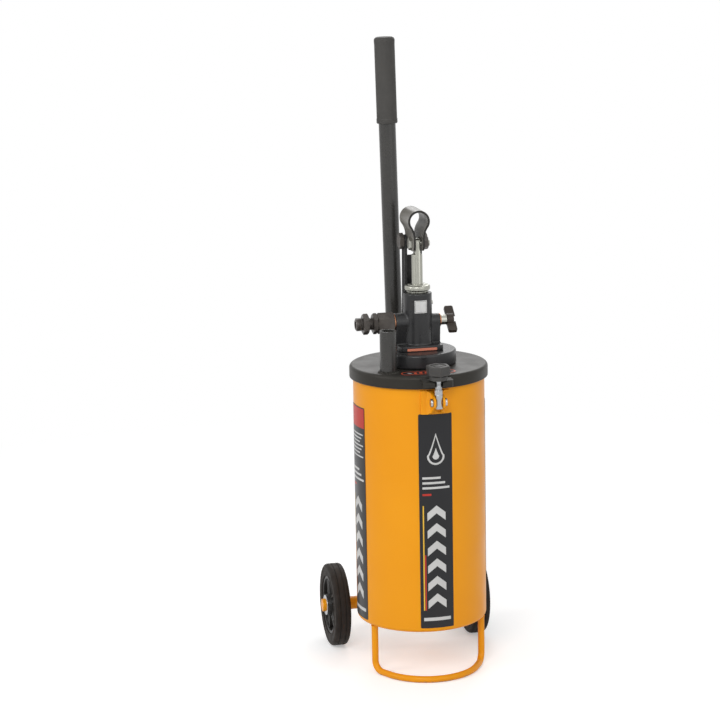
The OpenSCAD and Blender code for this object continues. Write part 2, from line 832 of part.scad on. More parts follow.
module rear_swing_bolt() {
    color("silver") on_axis() to_rear() swing_bolt();
}

module front_knob() {
    color("#2b2b2d") on_axis() knob();
}

module rear_knob() {
    color("#2b2b2d") on_axis() to_rear() knob();
}

module front_lid_lug() {
    color("#2b2b2d") on_axis() lid_lug();
}

module rear_lid_lug() {
    color("#2b2b2d") on_axis() to_rear() lid_lug();
}

// Places of the four pump screws
module at_screws() {
    for (sx = [-1, 1], sy = [-1, 1])
        translate([sx * screw_span_x / 2, sy * screw_span_y / 2, 0]) children();
}

module lid() {
    color("#2b2b2d") on_axis() difference() {
        rotate_extrude() difference() {
            union() {
                translate([0, lid_top_z - lid_edge_r]) square([lid_r - lid_edge_r, lid_edge_r]);
                translate([0, lid_top_z - lid_rim_h]) square([lid_r, lid_rim_h - lid_edge_r]);
                translate([lid_r - lid_edge_r, lid_top_z - lid_edge_r]) circle(lid_edge_r);
            }
            translate([0, lid_top_z - 2 * lid_rim_h]) square([lid_r - lid_wall, 2 * lid_rim_h - lid_edge_r]);
            translate([0, lid_under_z - lid_rim_h]) square([lid_r - lid_edge_r, lid_rim_h]);
            translate([lid_r - lid_edge_r, lid_top_z - lid_edge_r]) circle(lid_edge_r - lid_wall);
        }
        cylinder(r = tube_r + seat_gap, h = 2 * lid_top_z);
        at_screws() cylinder(r = screw_r + seat_gap, h = 2 * lid_top_z);
    }
}

module lid_gasket() {
    gasket_r = barrel_r + bead_r / 2;
    color("black") on_axis(rim_z + seat_gap)
        tube(gasket_r, gasket_r - gasket_w, gasket_t - 2 * seat_gap);
}

// Holders on the lid and the parked lever
module nozzle_holder() {
    color("#2b2b2d") on_axis(lid_top_z) rotate([0, 0, -nozzle_holder_turn])
        translate([0, -nozzle_holder_at, 0])
            tube(nozzle_holder_d / 2, nozzle_holder_d / 2 - nozzle_holder_wall, nozzle_holder_h);
}

module at_lever() {
    on_axis(lid_top_z) rotate([0, 0, lever_holder_turn]) translate([0, lever_holder_at, 0]) children();
}

// The parked lever leans to the left in its holder
module leaning() {
    translate([0, 0, lever_holder_h / 2]) rotate([0, 0, -lever_holder_turn]) rotate([0, -lever_lean, 0])
        translate([0, 0, lever_seat - lever_holder_h / 2]) children();
}

module lever_holder() {
    color("#2b2b2d") at_lever() tube(lever_holder_r + lever_holder_wall, lever_holder_r, lever_holder_h);
}

module lever_tube() {
    color("#2b2b2d") at_lever() leaning() tube(lever_r, lever_r - lever_wall, lever_tube_l);
}

module lever_grip() {
    color("#1d1d1f") at_lever() leaning() translate([0, 0, lever_l - grip_l]) difference() {
        puck(grip_d / 2, grip_l, 2);
        translate([0, 0, -1]) cylinder(r = lever_r + seat_gap, h = grip_l - grip_end + seat_gap + 1);
    }
}

// Pump casting and its mounting
module mounting_disc() {
    color("#2b2b2d") on_axis(lid_top_z) difference() {
        puck(disc_r, disc_h, disc_edge_r);
        translate([0, 0, -1]) cylinder(r = tube_r + seat_gap, h = disc_h + 2);
        translate([0, 0, -1]) at_screws() cylinder(r = screw_r + seat_gap, h = disc_h + 2);
    }
}

// A round boss on a tapered rib, drawn in Y and Z around the boss's middle
module boss_profile(r, foot) {
    circle(r);
    polygon([[-rib_w / 2, -foot], [rib_w / 2, -foot], [r * 0.95, -r * 0.31], [-r * 0.95, -r * 0.31]]);
}

module pump_body() {
    rib_foot = outlet_h + base_t / 2;
    color("#2b2b2d") on_axis() difference() {
        union() {
            translate([0, 0, base_z]) linear_extrude(base_t) round_rect(base_l, base_w, base_r);
            translate([0, 0, body_z - base_t / 2]) cylinder(r = body_r, h = body_h + base_t / 2);
            translate([0, 0, outlet_z]) {
                x_plate(-outlet_boss_l, -rod_d) boss_profile(outlet_boss_d / 2, rib_foot);
                x_plate(rod_d, bleed_boss_l) boss_profile(bleed_boss_d / 2, rib_foot);
            }
            x_plate(-lug_half, lug_half) {
                translate([link_pin_y, link_pin_z]) circle(link_r);
                polygon([
                    [rod_d, link_pin_z + link_r * 0.9],
                    [rod_d, link_pin_z - 2 * link_r],
                    [body_r - 1, link_pin_z - 2 * link_r],
                    [link_pin_y + link_r * 0.4, link_pin_z - link_r * 0.8],
                    [link_pin_y, link_pin_z + link_r * 0.9]]);
            }
        }
        translate([0, 0, body_top_z - gland_thread_l - packing_h])
            cylinder(r = gland_thread_r + seat_gap, h = body_h);
        translate([0, 0, base_z - 1]) cylinder(r = rod_r + 2, h = body_h + base_t);
        translate([0, 0, base_z - 1]) cylinder(r = tube_r + seat_gap, h = pump_tube_seat + 1);
        translate([0, 0, base_z - 1]) at_screws() cylinder(r = screw_r + seat_gap, h = screw_in + 1);
        translate([0, 0, outlet_z]) {
            x_rod(adapter_stub_d / 2 + seat_gap, -outlet_boss_l - 1, 0);
            x_rod(stem_r + run_fit, 0, bleed_boss_l + 1);
        }
        translate([0, link_pin_y, link_pin_z]) x_rod(link_pin_d / 2 + seat_gap, -lug_half - 1, lug_half + 1);
        translate([0, 0, body_z + set_screw_h])
            x_rod(set_screw_d / 2 + seat_gap, gland_thread_r + 2, body_r + 1);
    }
}

module pump_screws() {
    color("silver") on_axis(lid_under_z - seat_gap) at_screws() {
        cylinder(r = screw_r, h = lid_wall + disc_h + screw_in);
        translate([0, 0, -screw_head_h])
            cylinder(r = screw_head_af / 2 / cos(30), h = screw_head_h, $fn = 6);
    }
}

module set_screw() {
    color("silver") on_axis(body_z + set_screw_h)
        x_rod(set_screw_d / 2, gland_thread_r + 2 + seat_gap, body_r + 1.2);
}

// Gland, rod and piston
module gland_nut() {
    color("silver") on_axis(body_top_z) difference() {
        union() {
            translate([0, 0, -gland_thread_l])
                cylinder(r = gland_thread_r, h = gland_thread_l + gland_h / 2);
            translate([0, 0, seat_gap]) puck(gland_d / 2, gland_h - seat_gap, gland_edge_r);
        }
        translate([0, 0, -gland_thread_l - 1])
            cylinder(r = rod_r + run_fit, h = gland_thread_l + gland_h + 2);
    }
}

module gland_packing() {
    color("black") on_axis(packing_z + seat_gap)
        tube(gland_thread_r, rod_r + run_fit, packing_h - 2 * seat_gap);
}

module piston_rod() {
    color("silver") on_axis() difference() {
        union() {
            translate([0, 0, piston_z]) cylinder(r = rod_r, h = shoulder_z - 2 - piston_z);
            translate([0, 0, shoulder_z - 2]) cylinder(r1 = rod_r, r2 = rod_r - 2, h = 2);
            intersection() {
                translate([0, 0, shoulder_z - 3]) cylinder(r = rod_r, h = tang_h + 3 + rod_r);
                translate([-tang_t / 2, -rod_r, 0]) cube([tang_t, rod_d, 2 * rod_bolt_z]);
                union() {
                    translate([0, 0, rod_bolt_z]) x_rod(rod_r, -rod_d, rod_d);
                    translate([-rod_d, -rod_r, 0]) cube([2 * rod_d, rod_d, rod_bolt_z]);
                }
            }
        }
        translate([0, 0, rod_bolt_z]) x_rod(cross_r + run_fit, -rod_d, rod_d);
    }
}

module piston() {
    color("silver") on_axis(piston_z - piston_h) difference() {
        cylinder(r = tube_in_r - run_fit, h = piston_h - seat_gap);
        translate([0, 0, piston_h - piston_seal_h - 2])
            tube(tube_r, tube_in_r - 3, piston_seal_h);
    }
}

module piston_seal() {
    color("black") on_axis(piston_z - piston_seal_h - 2 + seat_gap)
        tube(tube_in_r - run_fit, tube_in_r - 3 + seat_gap, piston_seal_h - 2 * seat_gap);
}

module pump_tube() {
    color("silver") on_axis(tube_z) tube(tube_r, tube_in_r, tube_top_z - tube_z - seat_gap);
}

// The foot valve's cup, with a ball on its seat
module foot_valve() {
    cup_h = valve_floor + ball_d + 10;
    color("silver") on_axis(tube_z - valve_floor - seat_gap) difference() {
        cylinder(r = tube_r + valve_wall, h = cup_h);
        translate([0, 0, valve_floor]) cylinder(r = tube_r + seat_gap, h = cup_h);
        translate([0, 0, -1]) cylinder(r = ball_seat_r, h = cup_h);
    }
}

module intake_ball() {
    color("silver") on_axis(tube_z + ball_lift + seat_gap) sphere(r = ball_r);
}

// Lever clamp: one strap bent to a loop with two legs, drawn in X and Z
module strap_profile() {
    reach = 2 * (loop_r + strap_t);
    translate([0, loop_z]) difference() {
        circle(loop_r + strap_t);
        circle(loop_r);
        polygon([[0, 0], [-reach * sin(neck_turn), -reach * cos(neck_turn)],
            [0, -2 * reach], [reach * sin(neck_turn), -reach * cos(neck_turn)]]);
    }
    lap = 10 * seam;
    lap_turn = neck_turn - 3;
    for (s = [-1, 1]) {
        translate([s * neck_x, neck_z]) intersection() {
            difference() {
                circle(neck_r + strap_t - seam);
                circle(neck_r + seam);
            }
            polygon([[0, 0], [-s * reach, 0], [-s * reach, reach],
                [-s * reach * sin(lap_turn), reach * cos(lap_turn)]]);
        }
        translate([s * (leg_in + leg_out) / 2, (rod_bolt_z - leg_drop + neck_z + lap) / 2])
            square([strap_t - 4 * seam, neck_z - rod_bolt_z + leg_drop + lap], center = true);
    }
}

module lever_clamp() {
    corner_y = leg_drop - strap_front;
    color("#2b2b2d") on_axis() difference() {
        translate([0, strap_w - strap_front, 0]) rotate([90, 0, 0]) linear_extrude(strap_w) strap_profile();
        difference() {
            translate([-leg_out - 1, -strap_front - 1, rod_bolt_z - leg_drop - 1])
                cube([2 * leg_out + 2, leg_drop + 1, leg_drop + 1]);
            translate([0, corner_y, rod_bolt_z]) x_rod(leg_drop, -leg_out - 2, leg_out + 2);
        }
        for (y = [0, bolt_span])
            translate([0, y, rod_bolt_z]) x_rod(cross_r + seat_gap, -leg_out - 1, leg_out + 1);
    }
}

// A cross bolt with its head on the left
module cross_bolt(y, half, af, head_h) {
    on_axis() translate([0, y, rod_bolt_z]) {
        x_rod(cross_r, -half - 1, half + cross_nut_h + cross_bolt_end);
        x_hex(af, -half - head_h, -half);
    }
}

module rod_bolt() {
    color("silver") cross_bolt(0, leg_out + seat_gap, rod_bolt_af, rod_bolt_head_h);
}

module link_bolt() {
    color("#2b2b2d") cross_bolt(bolt_span, ear_gap_out + pass_gap, link_bolt_af, link_bolt_head_h);
}

module cross_nuts() {
    color("#2b2b2d") on_axis(rod_bolt_z)
        for (p = [[0, leg_out + seat_gap, rod_bolt_af], [bolt_span, ear_gap_out + pass_gap, link_bolt_af]])
            translate([0, p[0], 0]) difference() {
                x_hex(p[2], p[1], p[1] + cross_nut_h);
                x_rod(cross_r + seat_gap, p[1] - 1, p[1] + cross_nut_h + 1);
            }
}

// Link: a folded channel with two ears at the top
module link() {
    color("#2b2b2d") on_axis() translate([0, link_pin_y, link_pin_z]) rotate([link_tilt, 0, 0])
        difference() {
            union() {
                for (s = [0, 1])
                    mirror([s, 0, 0]) x_plate(ear_gap_in, ear_gap_out) {
                        circle(link_r);
                        translate([0, link_l]) circle(link_r);
                        translate([-link_r, 0]) square([2 * link_r, link_l]);
                    }
                translate([-ear_gap_out, link_r - link_t, link_web_z])
                    cube([2 * ear_gap_out, link_t, link_web_h]);
            }
            x_rod(link_pin_d / 2 + run_fit, -2 * ear_gap_out, 2 * ear_gap_out);
            translate([0, 0, link_l]) x_rod(cross_r + link_play, -2 * ear_gap_out, 2 * ear_gap_out);
        }
}

module link_pin() {
    color("silver") on_axis() translate([0, link_pin_y, link_pin_z]) {
        x_rod(link_pin_d / 2, -link_pin_half, link_pin_half);
        for (s = [-1, 1])
            translate([s * (link_pin_half - 1), 0, 0]) x_rod(link_pin_d / 2 + 2, -1, 1);
    }
}

// Outlet on the left
module outlet_washer() {
    color("#b87333") on_axis(outlet_z) difference() {
        x_rod(outlet_boss_d / 2 - 1, -outlet_face + seat_gap, -outlet_boss_l - seat_gap);
        x_rod(adapter_stub_d / 2 + seat_gap, -outlet_face - 1, -outlet_boss_l + 1);
    }
}

module outlet_adapter() {
    color("#2b2b2d") on_axis(outlet_z) difference() {
        union() {
            x_hex(adapter_af, -adapter_end, -outlet_face);
            x_rod(adapter_stub_d / 2, -outlet_face - 1, -outlet_face + adapter_stub_l);
        }
        x_rod(outlet_bore_d / 2, -adapter_end - 1, 0);
        x_rod(nipple_neck_r + seat_gap, -adapter_end - 1, -adapter_end + nipple_seat);
    }
}

module outlet_nipple() {
    color("#2b2b2d") on_axis(outlet_z) difference() {
        union() {
            x_rod(nipple_r, -nipple_tip, -hose_nut_end - neck_show);
            x_rod(nipple_neck_r, -nipple_tip + 1, -adapter_end + nipple_seat - seat_gap);
        }
        x_rod(outlet_bore_d / 2, -nipple_tip - 1, 0);
    }
}

module nipple_nut(af, x0, x1) {
    on_axis(outlet_z) difference() {
        x_hex(af, x0, x1);
        x_rod(nipple_neck_r + seat_gap, x0 - 1, x1 + 1);
    }
}

module lock_nut() {
    color("#2b2b2d") nipple_nut(lock_nut_af, -lock_nut_end, -adapter_end - seat_gap);
}

module hose_nut() {
    color("#2b2b2d") nipple_nut(hose_nut_af, -hose_nut_end, -hose_nut_at);
}

// Bleed valve on the right
module bleed_washer() {
    color("#b87333") on_axis(outlet_z) difference() {
        x_rod(bleed_boss_d / 2 - 0.5, bleed_boss_l + seat_gap, bleed_face - 2 * run_fit);
        x_rod(stem_r + run_fit, bleed_boss_l - 1, bleed_face + 1);
    }
}

module bleed_stem() {
    color("silver") on_axis(outlet_z) {
        x_rod(stem_r, bleed_boss_l - stem_in, collar_end + wing_hub_l);
        x_rod(stem_collar_d / 2, bleed_face, collar_end);
    }
}

// One wing, drawn with the stem's axis along +X and the wing along +Y
module wing() {
    linear_extrude(wing_t) translate([wing_w / 2, wing_reach / 2])
        round_rect(wing_w, wing_reach, wing_corner_r);
}

module wing_handle() {
    shift = wing_t * 0.35;
    color("#2b2b2d") on_axis(outlet_z) rotate([-wing_turn, 0, 0])
        translate([collar_end + seat_gap, 0, 0]) difference() {
            union() {
                x_rod(wing_hub_d / 2, 0, wing_hub_l);
                for (turn = [90, 270])
                    rotate([turn, 0, 0]) translate([0, 0, shift - wing_t / 2]) wing();
            }
            x_rod(stem_r + seat_gap, -1, wing_hub_l + wing_w);
        }
}

// Follower inside the barrel
module follower_plate() {
    color("silver") on_axis(follower_z) tube(barrel_in_r - 3, tube_r + wipe_gap, follower_t);
}

module follower_wiper() {
    color("black") on_axis(follower_z + follower_t + seat_gap) tube(wiper_r, wiper_r - wiper_w, wiper_h);
}

// Labels and stickers
module barrel_label(turn) {
    half = label_w / barrel_r * 90 / PI;
    on_axis(label_z) rotate([0, 0, turn - 90 - half])
        rotate_extrude(angle = 2 * half) translate([barrel_r + glue_t, 0]) square([label_t, label_h]);
}

module front_label() {
    color("#37373a") barrel_label(0);
}

module left_label() {
    color("#37373a") barrel_label(-left_label_turn);
}

module right_label() {
    color("#37373a") barrel_label(right_label_turn);
}

module pump_sticker() {
    half = pump_sticker_w / body_r * 90 / PI;
    color("white") on_axis(body_z + pump_sticker_at - pump_sticker_h / 2) rotate([0, 0, -90 - half])
        rotate_extrude(angle = 2 * half) translate([body_r + glue_t, 0]) square([label_t, pump_sticker_h]);
}

module base_sticker() {
    color("orangered") on_axis(base_z + base_sticker_low)
        translate([-base_sticker_l / 2, -base_w / 2 - glue_t - label_t, 0])
            cube([base_sticker_l, label_t, base_sticker_h]);
}

module lid_sticker() {
    color("orangered") on_axis(lid_top_z + glue_t) translate([-lid_sticker_left, -lid_sticker_at, 0])
        linear_extrude(label_t) round_rect(lid_sticker_l, lid_sticker_w, 4);
}

barrel();
front_foot();
axle();
left_axle_bracket();
right_axle_bracket();
axle_push_nuts();
left_hub();
left_tyre();
right_hub();
right_tyre();
front_clamp_bracket();
rear_clamp_bracket();
front_clamp_pin();
rear_clamp_pin();
front_swing_bolt();
rear_swing_bolt();
front_knob();
rear_knob();
lid();
lid_gasket();
front_lid_lug();
rear_lid_lug();
nozzle_holder();
lever_holder();
lever_tube();
lever_grip();
mounting_disc();
pump_body();
pump_screws();
set_screw();
gland_nut();
gland_packing();
piston_rod();
piston();
piston_seal();
pump_tube();
foot_valve();
intake_ball();
lever_clamp();
rod_bolt();
link_bolt();
cross_nuts();
link();
link_pin();
outlet_washer();
outlet_adapter();
outlet_nipple();
lock_nut();
hose_nut();
bleed_washer();
bleed_stem();
wing_handle();
follower_plate();
follower_wiper();
front_label();
left_label();
right_label();
pump_sticker();
base_sticker();
lid_sticker();
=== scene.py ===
import bpy
import bmesh
import math
from mathutils import Matrix, Vector


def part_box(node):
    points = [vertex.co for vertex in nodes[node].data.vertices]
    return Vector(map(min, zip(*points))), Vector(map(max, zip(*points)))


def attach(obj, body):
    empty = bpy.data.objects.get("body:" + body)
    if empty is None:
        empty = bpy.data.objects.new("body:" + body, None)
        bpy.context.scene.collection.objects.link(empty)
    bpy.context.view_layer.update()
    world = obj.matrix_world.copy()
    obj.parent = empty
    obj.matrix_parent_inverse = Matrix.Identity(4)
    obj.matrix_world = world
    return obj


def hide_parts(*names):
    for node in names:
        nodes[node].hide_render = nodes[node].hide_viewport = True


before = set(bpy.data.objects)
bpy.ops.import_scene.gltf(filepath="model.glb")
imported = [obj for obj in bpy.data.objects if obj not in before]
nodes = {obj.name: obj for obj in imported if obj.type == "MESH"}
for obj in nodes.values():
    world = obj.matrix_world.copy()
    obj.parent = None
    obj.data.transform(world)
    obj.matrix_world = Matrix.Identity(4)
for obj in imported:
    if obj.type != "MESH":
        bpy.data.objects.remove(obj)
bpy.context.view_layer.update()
scene = bpy.context.scene
mm = 0.001
barrelLow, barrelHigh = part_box("barrel")
axisY = (barrelLow.y + barrelHigh.y) / 2 / mm
# sizes below are in millimetres around the barrel's axis
onAxis = Matrix.Translation((0, axisY * mm, 0)) @ Matrix.Diagonal((mm, mm, mm, 1))
print("frame loaded:", len(nodes), "solids")


def addObject(name, data):
    made = bpy.data.objects.new(name, data)
    scene.collection.objects.link(made)
    return made


def pick(settings, keys):
    return [settings[key] for key in keys.split()]


cameraSpec = {
    "place": (-653.9, -2657.1, 946.5),
    "yaw": 12.446,      # degrees to the right of straight ahead
    "dip": 11.854,      # degrees down
    "roll": 1.1,
    "lens": 116.81,
    "sensor": 36,
    "far": 50,          # metres
}


def makeCamera(spec):
    yaw, dip, roll = (math.radians(a) for a in pick(spec, "yaw dip roll"))
    ahead = Vector((math.sin(yaw) * math.cos(dip), math.cos(yaw) * math.cos(dip), -math.sin(dip)))
    level = Vector((math.cos(yaw), -math.sin(yaw), 0))
    down = ahead.cross(level)
    right = level * math.cos(roll) + down * math.sin(roll)
    up = level * math.sin(roll) - down * math.cos(roll)
    data = bpy.data.cameras.new("studioCamera")
    data.lens = spec["lens"]
    data.sensor_width = spec["sensor"]
    data.clip_end = spec["far"]
    camera = addObject("studioCamera", data)
    turn = Matrix((right, up, -ahead)).transposed().to_4x4()
    camera.matrix_world = Matrix.Translation(Vector(spec["place"]) * mm) @ turn
    scene.camera = camera


makeCamera(cameraSpec)
print("camera set")


def link(tree, *joins):
    # from a socket or a node's first output, to a socket or a node's named input
    for source, target, *label in joins:
        source = source.outputs[0] if isinstance(source, bpy.types.Node) else source
        tree.links.new(source, target.inputs[label[0]] if label else target)


def addNodes(tree, family, *kinds):
    return [tree.nodes.new(family + kind) for kind in kinds]


def setInputs(node, values):
    for label, value in values.items():
        node.inputs[label].default_value = value


def freshTree(owner):
    owner.use_nodes = True
    owner.node_tree.nodes.clear()
    return owner.node_tree


# shader groups shared by the finishes
def shaderGroup(name, takes, gives):
    group = bpy.data.node_groups.new(name, "ShaderNodeTree")
    for label, kind, value in takes:
        socket = group.interface.new_socket(label, in_out="INPUT", socket_type="NodeSocket" + kind)
        if value is not None:
            socket.default_value = value
    for label, kind in gives:
        group.interface.new_socket(label, in_out="OUTPUT", socket_type="NodeSocket" + kind)
    return group, group.nodes.new("NodeGroupInput").outputs, group.nodes.new("NodeGroupOutput").inputs


def noiseNode(tree, vector, scale, detail):
    noise = tree.nodes.new("ShaderNodeTexNoise")
    noise.inputs["Detail"].default_value = detail
    link(tree, (vector, noise, "Vector"))
    if isinstance(scale, (int, float)):
        noise.inputs["Scale"].default_value = scale
    else:
        link(tree, (scale, noise, "Scale"))
    return noise.outputs["Fac"]


def mathNode(tree, kind, first, second):
    node = tree.nodes.new("ShaderNodeMath")
    node.operation = kind
    for socket, value in zip(node.inputs, (first, second)):
        if isinstance(value, (int, float)):
            socket.default_value = value
        else:
            link(tree, (value, socket))
    return node.outputs[0]


def rangeNode(tree, value, fromLow, fromHigh, toLow, toHigh):
    node = tree.nodes.new("ShaderNodeMapRange")
    link(tree, (value, node, "Value"))
    for label, bound in (("From Min", fromLow), ("From Max", fromHigh), ("To Min", toLow),
                         ("To Max", toHigh)):
        if isinstance(bound, (int, float)):
            node.inputs[label].default_value = bound
        else:
            link(tree, (bound, node.inputs[label]))
    return node.outputs[0]


def colourMix(tree, factor, first, second):
    node = tree.nodes.new("ShaderNodeMix")
    node.data_type = "RGBA"
    for socket, value in ((node.inputs[0], factor), (node.inputs[6], first), (node.inputs[7], second)):
        if isinstance(value, tuple):
            socket.default_value = value
        else:
            link(tree, (value, socket))
    return node.outputs[2]


def makePaintSkin():
    group, take, give = shaderGroup(
        "paintSkin",
        [("Position", "Vector", None), ("Color", "Color", (1, 1, 1, 1)), ("Shade", "Color", (1, 1, 1, 1)),
         ("Mottle Scale", "Float", 8.0), ("Mottle", "Float", 0.5), ("Grain Scale", "Float", 900.0),
         ("Rough Low", "Float", 0.3), ("Rough High", "Float", 0.4)],
        [("Color", "Color"), ("Roughness", "Float"), ("Height", "Float")])
    cloud = noiseNode(group, take["Position"], take["Mottle Scale"], 4.0)
    amount = mathNode(group, "MULTIPLY", rangeNode(group, cloud, 0.3, 0.7, 0.0, 1.0), take["Mottle"])
    link(group, (colourMix(group, amount, take["Color"], take["Shade"]), give["Color"]))
    smudge = noiseNode(group, take["Position"], mathNode(group, "MULTIPLY", take["Mottle Scale"], 3.7),
                       5.0)
    link(group, (rangeNode(group, smudge, 0.3, 0.7, take["Rough Low"], take["Rough High"]),
                 give["Roughness"]))
    link(group, (noiseNode(group, take["Position"], take["Grain Scale"], 2.5), give["Height"]))
    return group


def makeDrawnMetal():
    group, take, give = shaderGroup(
        "drawnMetal",
        [("Position", "Vector", None), ("Color", "Color", (1, 1, 1, 1)), ("Shade", "Color", (1, 1, 1, 1)),
         ("Along", "Vector", (1, 1, 1)), ("Grain Scale", "Float", 300.0), ("Rough Low", "Float", 0.2),
         ("Rough High", "Float", 0.4)],
        [("Color", "Color"), ("Roughness", "Float"), ("Height", "Float")])
    stretch = group.nodes.new("ShaderNodeVectorMath")
    stretch.operation = "MULTIPLY"
    link(group, (take["Position"], stretch, 0), (take["Along"], stretch, 1))
    lines = noiseNode(group, stretch.outputs[0], take["Grain Scale"], 3.0)
    streaks = rangeNode(group, lines, 0.3, 0.7, 0.0, 0.7)
    cloud = rangeNode(group, noiseNode(group, take["Position"], 45.0, 3.0), 0.3, 0.7, 0.0, 0.3)
    link(group, (colourMix(group, mathNode(group, "ADD", streaks, cloud), take["Color"], take["Shade"]),
                 give["Color"]))
    link(group, (rangeNode(group, lines, 0.3, 0.7, take["Rough Low"], take["Rough High"]),
                 give["Roughness"]))
    link(group, (lines, give["Height"]))
    return group


def makeSettledDust():
    group, take, give = shaderGroup(
        "settledDust",
        [("Position", "Vector", None), ("Scale", "Float", 40.0), ("Amount", "Float", 0.1)],
        [("Mask", "Float")])
    facing = group.nodes.new("ShaderNodeSeparateXYZ")
    link(group, (group.nodes.new("ShaderNodeNewGeometry").outputs["Normal"], facing, 0))
    upward = rangeNode(group, facing.outputs[2], 0.2, 1.0, 0.15, 1.0)
    specks = rangeNode(group, noiseNode(group, take["Position"], take["Scale"], 6.0), 0.42, 0.68, 0.0, 1.0)
    link(group, (mathNode(group, "MULTIPLY", mathNode(group, "MULTIPLY", upward, specks), take["Amount"]),
                 give["Mask"]))
    return group


def makeFloorScuff():
    group, take, give = shaderGroup(
        "floorScuff",
        [("Position", "Vector", None), ("Height", "Float", 0.006), ("Amount", "Float", 0.6)],
        [("Mask", "Float")])
    split = group.nodes.new("ShaderNodeSeparateXYZ")
    link(group, (take["Position"], split, 0))
    low = rangeNode(group, split.outputs[2], take["Height"], 0.0, 0.0, 1.0)
    scratch = rangeNode(group, noiseNode(group, take["Position"], 260.0, 6.0), 0.45, 0.58, 0.0, 1.0)
    link(group, (mathNode(group, "MULTIPLY", mathNode(group, "MULTIPLY", low, scratch), take["Amount"]),
                 give["Mask"]))
    return group


paintSkin = makePaintSkin()
drawnMetal = makeDrawnMetal()
settledDust = makeSettledDust()
floorScuff = makeFloorScuff()


def placeGroup(tree, group, position, values):
    node = tree.nodes.new("ShaderNodeGroup")
    node.node_tree = group
    link(tree, (position, node, "Position"))
    setInputs(node, values)
    return node.outputs


def makeFinish(name, spec):
    finish = bpy.data.materials.new(name)
    tree = freshTree(finish)
    out, skin, bump = addNodes(tree, "ShaderNode", "OutputMaterial", "BsdfPrincipled", "Bump")
    link(tree, (skin, out, "Surface"))
    position = tree.nodes.new("ShaderNodeTexCoord").outputs["Object"]
    colour = tuple(spec["colour"]) + (1.0,)
    shade = tuple(spec["shade"]) + (1.0,)
    roughLow, roughHigh = spec["rough"]
    if "along" in spec:
        got = placeGroup(tree, drawnMetal, position, {
            "Color": colour, "Shade": shade, "Along": spec["along"], "Grain Scale": spec["grain"],
            "Rough Low": roughLow, "Rough High": roughHigh})
    else:
        got = placeGroup(tree, paintSkin, position, {
            "Color": colour, "Shade": shade, "Mottle Scale": spec["mottle"][0],
            "Mottle": spec["mottle"][1], "Grain Scale": spec["grain"], "Rough Low": roughLow,
            "Rough High": roughHigh})
    base = got["Color"]
    if "scuff" in spec:
        mask = placeGroup(tree, floorScuff, position,
                          {"Height": spec["scuff"][0], "Amount": spec["scuff"][1]})
        base = colourMix(tree, mask["Mask"], base, tuple(spec["scuff"][2]) + (1.0,))
    if "dust" in spec:
        mask = placeGroup(tree, settledDust, position,
                          {"Scale": spec["dust"][0], "Amount": spec["dust"][1]})
        base = colourMix(tree, mask["Mask"], base, tuple(spec["dust"][2]) + (1.0,))
    link(tree, (base, skin, "Base Color"), (got["Roughness"], skin, "Roughness"))
    setInputs(bump, {"Strength": spec["bump"][0], "Distance": spec["bump"][1]})
    link(tree, (got["Height"], bump, "Height"), (bump.outputs["Normal"], skin, "Normal"))
    setInputs(skin, {"Metallic": spec.get("metal", 0.0), "Specular IOR Level": spec.get("gloss", 0.5),
                     "Specular Tint": spec.get("tint", (1.0, 1.0, 1.0)) + (1.0,)})
    return finish


